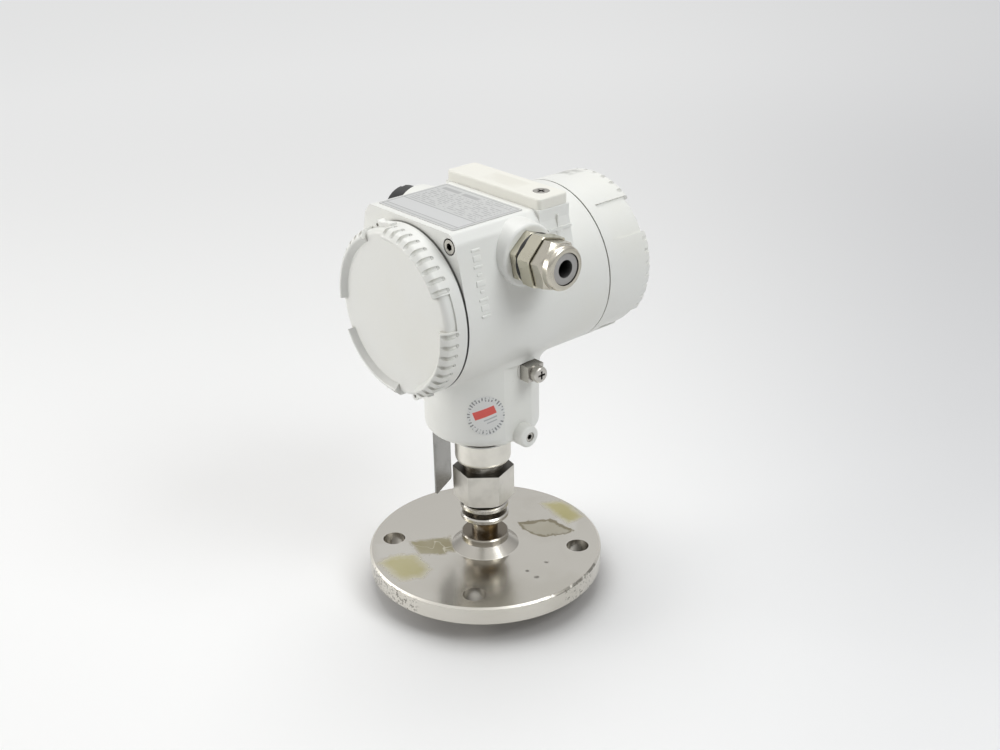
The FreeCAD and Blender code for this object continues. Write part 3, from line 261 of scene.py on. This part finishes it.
def cover_plastic():
    """Cream moulded cover, slightly glossy, with a faint worn field on top."""
    made, shader, place = start("cover_plastic")
    x, y, _ = place.axes()
    grain = place.noise(900.0, 2.0)
    cloud = place.noise(45.0, 3.0)
    worn = box_mask(x, y, (-13, 13), (13.5, 24), 0.8) * cloud.rise(0.35, 0.65)
    colour = mix(cloud * 0.5, rgb(0.82, 0.81, 0.75), rgb(0.80, 0.785, 0.71))
    colour = mix(worn * 0.35, colour, rgb(0.64, 0.62, 0.55))
    feed(shader, place, {
        "Base Color": colour,
        "Roughness": 0.38 + 0.16 * cloud,
        "Normal": bump(grain, 0.12, 0.08 * MM),
    })
    return made


def moulded(name, colour, lighter, roughness):
    """Plain moulded plastic or rubber: fine grain, a dusty bloom, and painted black shade in its bores."""
    made, shader, place = start(name)
    grain = place.noise(1400.0, 2.0)
    dust = place.noise(160.0, 4.0).rise(0.45, 0.75)
    shaded = mix(dust * 0.6, colour, lighter)
    feed(shader, place, {
        # Painted shade: black deep in bores and corners.
        "Base Color": mix(corners(place, 12, 0.32, 0.55), shaded, rgb(0.006, 0.006, 0.006)),
        "Roughness": roughness + 0.15 * dust,
        "Normal": bump(grain, 0.25, 0.08 * MM),
    })
    return made


# Metals

def from_stem(place):
    """Distance from the stem's axis."""
    x, y, _ = place.axes()
    return (x * x + y * y) ** 0.5


def tool_lines(along, scale):
    """Uneven lines across a direction, as a turning tool leaves."""
    return along.node("TexNoise", {"noise_dimensions": "1D"}, {"W": along, "Scale": scale, "Detail": 3.0})


# Marks on the flange, in millimetres
LEFT_TAPE = [(-22, -54.5), (-3, -56), (2.5, -47), (0, -39.5), (-15, -36.5), (-22.5, -46)]
RIGHT_TAPE = [(-8, 50), (16.5, 46.5), (16.5, 57), (6, 59.5), (-3.5, 59.5)]
LEFT_STRIP = [(-28, -30), (-14.2, -33.6), (-7.5, -26), (-4, -18), (-17, -11)]
RIGHT_STRIP = [(-2.7, 26.1), (4, 23.8), (16, 25.2), (21.8, 33.6), (24.9, 43.1), (6.1, 42.1)]
STRIP_INSIDE = [(0, 26.6), (4.4, 25), (15.4, 26.4), (21, 34.4), (23.2, 41.4), (7.6, 39)]
LEFT_PALE = [(-27, -52), (-16, -35.5), (-29, -31), (-39, -45)]
RIGHT_PALE = [(9, 41.5), (26, 43.5), (19, 51), (9, 47)]
DENTS = [(37, 11, 1.7, 0.9), (36.4, -2.2, 1.5, 0.9), (44, -2.6, 1.9, 1.2)]
BOLT_CIRCLE_R = 50
BOLT_TURNS = [math.radians(43 + 90 * i) for i in range(4)]
HOLE_HIGHLIGHT_R = 6.7                              # painted highlight round a hole of 6 mm radius
HOLE_HIGHLIGHT_SOFT = 0.35
BOLT_HOLE_HIGHLIGHTS = [(BOLT_CIRCLE_R * math.cos(turn), BOLT_CIRCLE_R * math.sin(turn), HOLE_HIGHLIGHT_R, HOLE_HIGHLIGHT_SOFT)
             for turn in BOLT_TURNS]


def top_spots(place, spots):
    """1 on round spots of the flange's top, each given as x, y, its radius and its soft edge."""
    return any_of([near(place, (x, y, FLANGE_TOP_Z / MM), radius, soft) for x, y, radius, soft in spots])


def flange_steel():
    """Turned stainless flange with old tape, glue marks and knocked edges, a painted dark reflection and
    painted shade on its hub, painted shade in its corners and painted highlights round its bolt holes.
    """
    made, shader, place = start("flange_steel")
    x, y, z = place.axes()
    radius = from_stem(place)
    rings = tool_lines(radius, 2600.0)
    cloud = place.noise(28.0, 4.0)
    ragged = place.noise(230.0, 4.0, 0.65)
    above = z - FLANGE_TOP_Z
    top = above.rise(-0.7 * MM, -0.1 * MM) * (1 - above.rise(0.1 * MM, 0.4 * MM))

    rim = radius.rise(FLANGE_R - 0.6 * MM, FLANGE_R - 0.2 * MM)
    chips = place.noise(560.0, 3.0, 0.7)
    left_chips = near(place, (-5, -62, 4), 24, 6) * chips.rise(0.51, 0.58)
    right_chips = near(place, (61.5, 12, 6), 16, 5) * chips.rise(0.57, 0.63)
    knocks = rim * left_chips.either(right_chips)
    edge = radius.rise(FLANGE_R - 1.2 * MM, FLANGE_R - 0.8 * MM) * above.rise(-1.6 * MM, -1.1 * MM)
    scuffs = edge * near(place, (62, 8, 10), 26, 5) * place.noise(140.0, 3.0, 0.6).rise(0.42, 0.50)
    dents = top_spots(place, DENTS) * ragged.rise(0.40, 0.52)
    # Painted highlight round the bolt holes.
    hole_highlights = top_spots(place, BOLT_HOLE_HIGHLIGHTS)

    wander = (ragged - 0.5) * (5 * MM)
    u = x + wander
    v = y - wander
    left_strip = patch(u, v, LEFT_STRIP, 1.4)
    right_strip = patch(u, v, RIGHT_STRIP, 0.5)
    tape = patch(u, v, LEFT_TAPE, 4.0).either(patch(u, v, RIGHT_TAPE, 3.0)) * top
    film = left_strip.either(right_strip * 0.45) * top
    glue_line = right_strip * (1 - patch(u, v, STRIP_INSIDE, 0.6)) * top
    pale = patch(u, v, LEFT_PALE, 2.0).either(patch(u, v, RIGHT_PALE, 1.5)) * top
    creases = (1 - abs(place.noise(130.0, 1.0, 0.3) - 0.52).rise(0.0, 0.020)) * left_strip * top

    # The hub gets a painted dark reflection on its flare and upper wall, and painted shade on its top.
    hub = above.rise(0.06 * MM, 0.25 * MM)
    hub_neck = z.rise(HUB_TOP_Z - 4.2 * MM, HUB_TOP_Z - 2.2 * MM)
    hub_top = z.rise(HUB_TOP_Z - 0.35 * MM, HUB_TOP_Z - 0.1 * MM)

    stain = cloud.rise(0.50, 0.72) * 0.35
    colour = mix(stain, rgb(0.675, 0.65, 0.595), rgb(0.56, 0.535, 0.47))
    colour = mix(pale * 0.6, colour, rgb(0.74, 0.72, 0.67))
    colour = mix(film * (0.35 + 0.9 * cloud), colour, rgb(0.27, 0.235, 0.12))
    colour = mix(creases * 0.7, colour, rgb(0.72, 0.69, 0.58))
    colour = mix(glue_line * 0.75, colour, rgb(0.20, 0.17, 0.10))
    colour = mix(tape * (0.55 + 0.5 * cloud), colour, rgb(0.385, 0.345, 0.125))
    colour = mix((knocks + dents + scuffs) * 0.75, colour, rgb(0.14, 0.13, 0.11))
    colour = mix(hub * 0.5, colour, rgb(0.33, 0.31, 0.275))
    colour = mix(hub_neck * 0.4 + hub_top * 0.4, colour, rgb(0.13, 0.105, 0.075))
    # Painted shade in the flange's corners and grooves.
    colour = mix(corners(place, 9, 0.36, 0.85) * 0.65, colour, rgb(0.10, 0.085, 0.06))
    colour = mix(hole_highlights * 0.6, colour, rgb(0.80, 0.775, 0.72))
    dull = tape.either(film * 0.7)
    height = rings * 0.6 + ragged * 0.15 + tape * 0.4 + film * 0.3 - knocks * 3.0 - dents * 4.0
    feed(shader, place, {
        "Base Color": colour,
        "Metallic": 1 - tape * tape * 0.75 - film * film * 0.35,
        "Roughness": 0.13 + 0.09 * cloud + 0.06 * rings + 0.25 * dull + 0.2 * edge,
        "Normal": bump(height, 0.22, 0.06 * MM),
    })
    return made


def turned_steel(name, colour, heat_tint_and_shade_colour, heat_tint_and_shade_span, roughness):
    """Turned steel on the stem's axis, darker between two heights: discoloured by welding heat on the stem,
    painted shade at the neck's foot. Its corners and grooves carry painted shade.
    """
    made, shader, place = start(name)
    z = place.axes()[2]
    dark_band_low, dark_band_high = heat_tint_and_shade_span
    lines = tool_lines(z, 3200.0)
    rings = tool_lines(from_stem(place), 3200.0)
    cloud = place.noise(110.0, 4.0)
    # The darker band is discoloured by welding heat on the stem and is painted shade at the neck's foot.
    heat_tint_and_shade = z.rise(dark_band_low - 2 * MM, dark_band_low) * (1 - z.rise(dark_band_high, dark_band_high + 2 * MM))
    shaded = mix(cloud.rise(0.40, 0.75) * 0.4, colour, darker(colour, 0.78))
    shaded = mix(heat_tint_and_shade * cloud.rise(0.25, 0.6), shaded, heat_tint_and_shade_colour)
    feed(shader, place, {
        # Painted shade in corners and grooves.
        "Base Color": mix(corners(place, 9, 0.36, 0.90) * 0.7, shaded, rgb(0.12, 0.095, 0.062)),
        "Roughness": roughness + 0.10 * cloud + 0.06 * lines,
        "Normal": bump(lines + rings * 0.6, 0.14, 0.05 * MM),
    }, metallic=1.0)
    return made


def brushed(name, colour, roughness, direction, bore=0.0, dark_reflection_z=1.0):
    """Rolled or milled metal with fine scratches drawn along a direction.

    It is painted black as shade inside a bore on the gland's axis and painted dark as a reflection above a
    height, where those are given; its corners carry painted shade.
    """
    made, shader, place = start(name)
    hair = place.drawn(direction).noise(900.0, 3.0, 0.6)
    smear = place.noise(120.0, 4.0).rise(0.45, 0.75)
    _, y, z = place.axes()
    off_y, off_z = y - GLAND_AXIS[0], z - GLAND_AXIS[1]
    # Painted shade black inside the bore, a painted dark reflection above the given height, and painted shade
    # in corners.
    inside = 1 - ((off_y * off_y + off_z * off_z) ** 0.5).rise(bore - 0.3 * MM, bore)
    top_dark_reflection = z.rise(dark_reflection_z - 0.2 * MM, dark_reflection_z) * 0.85
    dark = any_of([corners(place, 9, 0.28, 0.66) * 0.9, inside, top_dark_reflection])
    shaded = mix(smear * 0.45, colour, darker(colour, 0.72))
    feed(shader, place, {
        "Base Color": mix(dark, shaded, rgb(0.03, 0.026, 0.02)),
        "Roughness": roughness + 0.12 * hair + 0.08 * smear + 0.3 * inside,
        "Normal": bump(hair, 0.12, 0.04 * MM),
    }, metallic=1.0)
    return made


# Printed pieces

PRINT_ROW = 1.9 * MM
PRINT_DASH = 2.5 * MM
ROW_SHIFT = 40.0                         # keeps the row numbers above zero
ROW_STRIDE = 7.31                        # steps the noise, so that each row has its own dashes


def plate_print():
    """Silver nameplate: a thin frame, a blank band in front and rows of plain bars."""
    made, shader, place = start("plate_print")
    x, y, _ = place.turned((0, PLATE_Y, 0), (0, 0, 0)).axes()
    grain = place.drawn((0.05, 1.0, 1.0)).noise(1500.0)
    frame_out = box_mask(x, y, (-27.0, 27.0), (-20.2, 20.2), 0.12)
    frame_in = box_mask(x, y, (-26.5, 26.5), (-19.7, 19.7), 0.12)
    band_low = box_mask(x, y, (-26.6, 26.6), (-17.6, -17.1), 0.12)
    band_high = box_mask(x, y, (-26.6, 26.6), (-7.2, -6.6), 0.12)
    blank = box_mask(x, y, (-26.5, 26.5), (-17, -7.3), 0.2)
    row = y / PRINT_ROW + ROW_SHIFT
    in_row = row.math("FRACT", row)
    spot = row.node("CombineXYZ", {}, {"X": x / PRINT_DASH, "Y": row.math("FLOOR", row) * ROW_STRIDE})
    dashes = spot.node("TexNoise", {"noise_dimensions": "2D"}, {"Vector": spot, "Scale": 1.0, "Detail": 1.0})
    bars = in_row.rise(0.24, 0.36) * (1 - in_row.rise(0.62, 0.74)) * dashes.rise(0.43, 0.54)
    bars = bars * box_mask(x, y, (-25, 25), (-5.6, 18.6), 0.2)
    bars = bars * (1 - box_mask(x, y, (-24.6, 3.6), (13.2, 18.8), 0.2))
    heading = box_mask(x, y, (-24, -11), (14.2, 17.2), 0.2)
    heading = heading.either(box_mask(x, y, (-9, 3), (14.2, 17.2), 0.2))
    ink = any_of([frame_out * (1 - frame_in), band_low, band_high, bars * 0.8, heading * 0.7])
    colour = mix(grain * 0.4, rgb(0.57, 0.575, 0.57), rgb(0.49, 0.495, 0.49))
    colour = mix(blank * 0.5, colour, rgb(0.62, 0.625, 0.63))
    feed(shader, place, {
        "Base Color": mix(ink * 0.55, colour, rgb(0.16, 0.16, 0.17)),
        "Metallic": 0.35 - ink * 0.25,
        "Roughness": 0.44 + 0.14 * grain,
        "Normal": bump(grain, 0.08, 0.03 * MM),
    })
    return made


LABEL_AT = (23.98 * MM, -17.52 * MM, 102.3 * MM)
LABEL_TURN = math.radians(-36.15)
LABEL_LEAN = math.radians(20)            # its print's slant
LABEL_R = 10.8 * MM
LABEL_TICKS = 34


def label_print():
    """Round sticker: a ring of plain ticks, a red field and two grey lines."""
    made, shader, place = start("label_print")
    _, across, up = place.turned(LABEL_AT, (0, 0, LABEL_TURN)).axes()
    along = across * math.cos(LABEL_LEAN) + up * math.sin(LABEL_LEAN)
    over = up * math.cos(LABEL_LEAN) - across * math.sin(LABEL_LEAN)
    radius = (across * across + up * up) ** 0.5
    step = across.math("ARCTAN2", up, across) * (LABEL_TICKS / (2 * math.pi))
    in_step = step.math("FRACT", step)
    ticks = in_step.rise(0.28, 0.36) * (1 - in_step.rise(0.72, 0.80))
    ticks = ticks * radius.rise(7.9 * MM, 8.1 * MM) * (1 - radius.rise(10.1 * MM, 10.3 * MM))
    ticks = ticks * place.noise(700.0, 2.0).rise(0.40, 0.50)
    red = box_mask(along, over, (-5.9, 5.6), (-0.5, 3.9), 0.15)
    lines = box_mask(along, over, (-2.0, 5.0), (-2.6, -1.9), 0.12)
    lines = lines.either(box_mask(along, over, (-1.0, 4.4), (-4.4, -3.8), 0.12))
    colour = mix(place.noise(300.0, 3.0) * 0.4, rgb(0.76, 0.765, 0.75), rgb(0.68, 0.685, 0.675))
    colour = mix(ticks * 0.8, colour, rgb(0.10, 0.10, 0.11))
    colour = mix(lines * 0.6, colour, rgb(0.25, 0.26, 0.28))
    colour = mix(red * 0.95, colour, rgb(0.72, 0.055, 0.035))
    feed(shader, place, {
        "Base Color": colour,
        "Roughness": 0.30 + 0.12 * place.noise(200.0, 3.0),
    }, coat_weight=0.3, coat_roughness=0.15)
    return made


# Finishes on the CAD nodes

UPRIGHT = (1.0, 1.0, 0.04)               # scratches along Z
CROSSWISE = (0.06, 1.0, 1.0)             # scratches along X
STEM_TINT = (19 * MM, 27 * MM)           # from the weld at the hub upwards
NECK_SHADE = (58 * MM, 61.5 * MM)         # painted shade at the neck's foot, over the hex

casting_paint = white_paint()
stem_steel = turned_steel("stem_steel", rgb(0.58, 0.56, 0.52), rgb(0.14, 0.095, 0.045), STEM_TINT, 0.14)
neck_steel = turned_steel("neck_steel", rgb(0.74, 0.72, 0.66), rgb(0.11, 0.095, 0.07), NECK_SHADE, 0.34)
hex_steel = brushed("hex_steel", rgb(0.64, 0.62, 0.57), 0.25, UPRIGHT, dark_reflection_z=HEX_TOP_Z - 0.1 * MM)
tag_steel = brushed("tag_steel", rgb(0.29, 0.285, 0.27), 0.16, UPRIGHT)
wire_steel = brushed("wire_steel", rgb(0.45, 0.45, 0.44), 0.28, (0.2, 0.2, 0.2))
screw_steel = brushed("screw_steel", rgb(0.56, 0.54, 0.50), 0.24, (1.0, 1.0, 1.0))
nickel = brushed("nickel", rgb(0.63, 0.60, 0.49), 0.16, CROSSWISE, GLAND_BORE_R)
polished_nickel = brushed("polished_nickel", rgb(0.56, 0.53, 0.455), 0.18, CROSSWISE, GLAND_BORE_R)
black_rubber = moulded("black_rubber", rgb(0.016, 0.016, 0.016), rgb(0.05, 0.048, 0.045), 0.55)
grey_rubber = moulded("grey_rubber", rgb(0.37, 0.36, 0.35), rgb(0.46, 0.45, 0.44), 0.50)
black_plastic = moulded("black_plastic", rgb(0.014, 0.014, 0.015), rgb(0.04, 0.04, 0.04), 0.38)
potting = moulded("potting", rgb(0.03, 0.045, 0.035), rgb(0.08, 0.10, 0.085), 0.5)

finishes = [
    (casting_paint, ["housing", "front_cap", "rear_cap"]),
    (cover_plastic(), ["button_cover"]),
    (flange_steel(), ["process_flange"]),
    (stem_steel, ["cooling_stem"]),
    (neck_steel, ["sensor_neck", "sensor_module", "diaphragm"]),
    (hex_steel, ["hex_adapter"]),
    (tag_steel, ["tag_plate"]),
    (wire_steel, ["tag_wire", "zero_spring", "span_spring"]),
    (screw_steel, ["terminal_screws", "electronics_screws", "button_cover_screw", "cap_lock_screw",
                   "swivel_set_screw", "ground_clamp", "ground_washer", "ground_screw"]),
    (nickel, ["gland_locknut", "gland_body"]),
    (polished_nickel, ["gland_dome_nut"]),
    (plate_print(), ["nameplate"]),
    (black_rubber, ["front_cap_oring", "rear_cap_oring", "neck_oring", "gland_washer", "plug_gasket"]),
    (grey_rubber, ["gland_seal"]),
    (black_plastic, ["blanking_plug", "terminal_block", "zero_button", "span_button"]),
    (potting, ["electronics_module"]),
]
for material, names in finishes:
    for name in names:
        nodes[name].data.materials.clear()
        nodes[name].data.materials.append(material)


# Modelling helpers

SMOOTH_ANGLE = math.radians(40)


def only(obj):
    """Selects one object and nothing else."""
    bpy.ops.object.select_all(action="DESELECT")
    obj.select_set(True)
    bpy.context.view_layer.objects.active = obj


def settle(obj, name, body, material):
    """Puts an object's place into its mesh, names it and lets it ride."""
    only(obj)
    bpy.ops.object.transform_apply(location=True, rotation=True, scale=True)
    obj.name = name
    obj.data.name = name
    obj.data.materials.clear()
    obj.data.materials.append(material)
    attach(obj, body)


def apply_all(obj):
    only(obj)
    for modifier in list(obj.modifiers):
        bpy.ops.object.modifier_apply(modifier=modifier.name)


# Round sticker on the turret

LABEL_INSETS = (0.112, 0.128, 0.16, 0.2, 0.264)      # shares of its radius, from the edge inwards
LABEL_CLEAR = 3 * MM                                 # from the casting before it is wrapped
LABEL_LIFT = 0.12 * MM
LABEL_T = 0.1 * MM


def round_label():
    """Thin disc wrapped onto the casting."""
    bpy.ops.object.select_all(action="DESELECT")
    out = Vector((math.cos(LABEL_TURN), math.sin(LABEL_TURN), 0))
    bpy.ops.mesh.primitive_circle_add(vertices=64, radius=LABEL_R, fill_type="NGON",
                                      location=Vector(LABEL_AT) + out * LABEL_CLEAR,
                                      rotation=out.to_track_quat("Z", "Y").to_euler())
    label = bpy.context.object
    bpy.ops.object.mode_set(mode="EDIT")
    bpy.ops.mesh.select_all(action="SELECT")
    for share in LABEL_INSETS:
        bpy.ops.mesh.inset(thickness=LABEL_R * share, depth=0)
    bpy.ops.mesh.poke()
    bpy.ops.object.mode_set(mode="OBJECT")
    only(label)
    bpy.ops.object.transform_apply(location=True, rotation=True, scale=True)
    wrap = label.modifiers.new("wrap", "SHRINKWRAP")
    wrap.target = nodes["housing"]
    wrap.wrap_method = "NEAREST_SURFACEPOINT"
    wrap.wrap_mode = "ABOVE_SURFACE"
    wrap.offset = LABEL_LIFT
    skin = label.modifiers.new("skin", "SOLIDIFY")
    skin.thickness = LABEL_T
    skin.offset = 0
    apply_all(label)
    bpy.ops.object.shade_smooth_by_angle(angle=SMOOTH_ANGLE)
    settle(label, "round_label", "housing", label_print())


round_label()


# Cast marks on the casting's gland side

SLOPE = math.radians(12.6)               # the side's lean from upright
SIDE_FOOT = (41.1 * MM, 169.6 * MM)      # x and z where the flat side leaves the barrel
MARKS_Y = -31.0 * MM
MARKS_RISE = 27.0 * MM                   # first mark above the side's foot
MARK_PITCH = 3.9 * MM
MARK_T = 1.1 * MM                        # half of it sunk in the side
MARK_ROUND = 0.5 * MM
LONG_MARK = (5.4, 1.5)                   # length along the barrel and width, in millimetres
WIDE_MARK = (4.6, 3.0)
CAST_MARKS = [LONG_MARK, WIDE_MARK, LONG_MARK, (3.2, 1.5), (5.4, 3.0), (2.6, 1.5),
              LONG_MARK, WIDE_MARK, LONG_MARK]


def cast_marks():
    """Column of plain raised bars."""
    bars = []
    for i, (length, width) in enumerate(CAST_MARKS):
        rise = MARKS_RISE - MARK_PITCH * i
        at = (SIDE_FOOT[0] - rise * math.sin(SLOPE), MARKS_Y, SIDE_FOOT[1] + rise * math.cos(SLOPE))
        bpy.ops.object.select_all(action="DESELECT")
        bpy.ops.mesh.primitive_cube_add(size=1.0, location=at, rotation=(0, -SLOPE, 0))
        bar = bpy.context.object
        bar.scale = (MARK_T, length * MM, width * MM)
        bpy.ops.object.transform_apply(location=False, rotation=False, scale=True)
        bpy.ops.object.mode_set(mode="EDIT")
        bpy.ops.mesh.select_all(action="SELECT")
        bpy.ops.mesh.bevel(offset=MARK_ROUND, segments=4)
        bpy.ops.object.mode_set(mode="OBJECT")
        bars.append(bar)
    for bar in bars:
        bar.select_set(True)
    bpy.ops.object.join()
    bpy.ops.object.shade_smooth_by_angle(angle=SMOOTH_ANGLE)
    settle(bpy.context.object, "cast_marks", "housing", casting_paint)


cast_marks()


# Button springs

SPRING_WIRE_R = 0.3 * MM
SPRING_TURNS = 2
SPRING_STEPS = 32


def button_spring(node):
    """Round-wire coil that takes the plain one's place."""
    low, high = (Vector(corner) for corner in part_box(node))
    foot = Vector(((low.x + high.x) / 2, (low.y + high.y) / 2, low.z))
    coil_r = (high.x - low.x) / 2 - SPRING_WIRE_R
    bpy.ops.object.select_all(action="DESELECT")
    bpy.ops.mesh.primitive_circle_add(vertices=12, radius=SPRING_WIRE_R, location=(coil_r, 0, 0),
                                      rotation=(math.pi / 2, 0, 0))
    coil = bpy.context.object
    only(coil)
    bpy.ops.object.transform_apply(location=True, rotation=True, scale=True)
    wound = coil.modifiers.new("wound", "SCREW")
    wound.axis = "Z"
    wound.screw_offset = (high.z - low.z - 2 * SPRING_WIRE_R) / SPRING_TURNS
    wound.iterations = SPRING_TURNS
    wound.steps = SPRING_STEPS
    wound.render_steps = SPRING_STEPS
    apply_all(coil)
    bpy.ops.object.mode_set(mode="EDIT")
    bpy.ops.mesh.select_all(action="SELECT")
    bpy.ops.mesh.fill_holes(sides=0)
    bpy.ops.mesh.select_all(action="SELECT")
    bpy.ops.mesh.normals_make_consistent(inside=False)
    bpy.ops.object.mode_set(mode="OBJECT")
    coil.location = foot + Vector((0, 0, SPRING_WIRE_R))
    bpy.ops.object.shade_smooth_by_angle(angle=SMOOTH_ANGLE)
    settle(coil, node + "_coil", "housing", wire_steel)
    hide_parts(node)
    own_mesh(coil)


button_spring("zero_spring")
button_spring("span_spring")


# Floor

# The floor's shades are fixed on it. They run along and across the photograph's viewing direction, and
# the side shade fans out from the point of the floor that lies below the photograph's camera.
FLOOR_TURN = math.radians(49.23)         # the viewing direction, from +Y towards -X
FAN_FRONT = 0.643                        # from the stem to that point
FAN_NEAREST = 0.4                        # the fan is no narrower than at this distance from it
CONTACT_REACH = 0.034


def seen_rays(wire):
    """1 for what is seen straight, mirrored or through glass, 0 for the light that bounces."""
    return any_of([wire.node("LightPath", {}, {}, kind)
                   for kind in ("Is Camera Ray", "Is Glossy Ray", "Is Transmission Ray")])


def floor_paint():
    """Pale floor with painted shade that greys it a little with distance and towards the right, a painted
    shadow under and round the flange, and a low bounce on the object.
    """
    made, shader, place = start("floor_paint")
    tree = made.node_tree
    x, y, _ = place.axes()
    depth = y * math.cos(FLOOR_TURN) - x * math.sin(FLOOR_TURN)
    side = x * math.cos(FLOOR_TURN) + y * math.sin(FLOOR_TURN)
    far = depth.rise(0.0, 0.40) * 0.6
    fan = (side / (depth + FAN_FRONT).either(FAN_NEAREST)).rise(0.02, 0.44) * depth.rise(-0.7, -0.2)
    shade = fan * (0.45 + 0.55 * depth.rise(-0.2, 0.2)) * (1 - depth.rise(0.5, 1.5) * 0.35)
    # Painted shadow under and round the flange, weaker on the left.
    closed = 1 - place.node("AmbientOcclusion", {"samples": 12}, {"Distance": CONTACT_REACH}, "AO")
    contact_shadow = closed.rise(0.04, 0.60) * (0.35 + 0.65 * side.rise(-0.075, -0.01))
    colour = mix(far, rgb(0.92, 0.92, 0.92), rgb(0.84, 0.845, 0.845))
    colour = mix(shade * 0.8, colour, rgb(0.62, 0.625, 0.64))
    colour = mix(contact_shadow, colour, rgb(0.44, 0.43, 0.42))
    seen = seen_rays(place)
    feed(shader, place, {"Base Color": mix(seen, rgb(0.70, 0.70, 0.70), colour)}, roughness=0.6)
    share = 0.10 + 0.65 * from_stem(place).rise(0.2, 1.3)
    glow = place.node("Emission", {}, {"Color": colour, "Strength": 1.0})
    shown = place.node("MixShader", {}, {0: seen * share, 1: Wire(tree, shader.outputs[0]), 2: glow})
    tree.links.new(shown.socket, tree.nodes["Material Output"].inputs["Surface"])
    return made


bpy.ops.object.select_all(action="DESELECT")
bpy.ops.mesh.primitive_plane_add(size=14.0, location=(0, 0, FLOOR_Z))
floor = bpy.context.object
floor.name = "floor"
floor.data.materials.append(floor_paint())


# Sky and lamps

def studio_sky():
    """Plain sky, pale at the horizon where it is seen and dimmer where it only lights."""
    world = bpy.data.worlds.new("studio")
    world.use_nodes = True
    sky = Wire(world.node_tree)
    height = sky.node("TexCoord", {}, {}, "Generated").axes()[2].either(0.0)
    seen = seen_rays(sky)
    horizon = 0.55 * (1 - height.rise(0.02, 0.25))
    strength = seen * (0.28 + 0.80 * height + horizon) + (1 - seen) * (0.20 + 0.26 * height)
    dome = sky.node("Background", {}, {"Color": rgb(1.0, 1.0, 1.0), "Strength": strength})
    world.node_tree.links.new(dome.socket, world.node_tree.nodes["World Output"].inputs["Surface"])
    return world


def lamp(name, at, aim_at, size, power, tone):
    """Rectangular soft lamp aimed at a point."""
    light = bpy.data.lights.new(name, "AREA")
    light.shape = "RECTANGLE"
    light.size, light.size_y = size
    light.energy = power
    light.color = tone
    holder = bpy.data.objects.new(name, light)
    bpy.context.scene.collection.objects.link(holder)
    holder.location = at
    holder.rotation_euler = (Vector(aim_at) - Vector(at)).to_track_quat("-Z", "Y").to_euler()


bpy.context.scene.world = studio_sky()
lamp("top_softbox", (-0.28, 0.25, 1.25), (0, 0, 0.1), (0.85, 0.85), 6.5, (1.0, 0.995, 0.98))
lamp("right_softbox", (0.70, 0.20, 0.85), (0, 0, 0.18), (0.45, 0.45), 4.0, (0.96, 0.985, 1.0))
lamp("front_fill", (-0.85, -0.95, 0.42), (0, 0, 0.14), (0.9, 0.6), 8.4, (1.0, 0.985, 0.955))


# Camera

CAMERA_AT = (0.49353, -0.41272, 0.41599)
AZIMUTH, ELEVATION, ROLL = math.radians(49.23), math.radians(25.40), math.radians(-1.11)
SENSOR_W = 36.0
FRAME_PIXELS = 1000
FOCAL_PIXELS = 1391.14


def photo_camera():
    """Camera at the photograph's viewing angle."""
    flat = math.cos(ELEVATION)
    back = Vector((math.sin(AZIMUTH) * flat, -math.cos(AZIMUTH) * flat, math.sin(ELEVATION)))
    level = Vector((math.cos(AZIMUTH), math.sin(AZIMUTH), 0))
    upright = back.cross(level)
    right = level * math.cos(ROLL) + upright * math.sin(ROLL)
    up = upright * math.cos(ROLL) - level * math.sin(ROLL)
    camera = bpy.data.objects.new("camera", bpy.data.cameras.new("camera"))
    bpy.context.scene.collection.objects.link(camera)
    camera.matrix_world = Matrix.Translation(CAMERA_AT) @ Matrix((right, up, back)).transposed().to_4x4()
    camera.data.sensor_width = SENSOR_W
    camera.data.lens = SENSOR_W * FOCAL_PIXELS / FRAME_PIXELS
    camera.data.clip_start = 0.01
    return camera


bpy.context.scene.camera = photo_camera()
bpy.context.scene.view_settings.view_transform = "Standard"
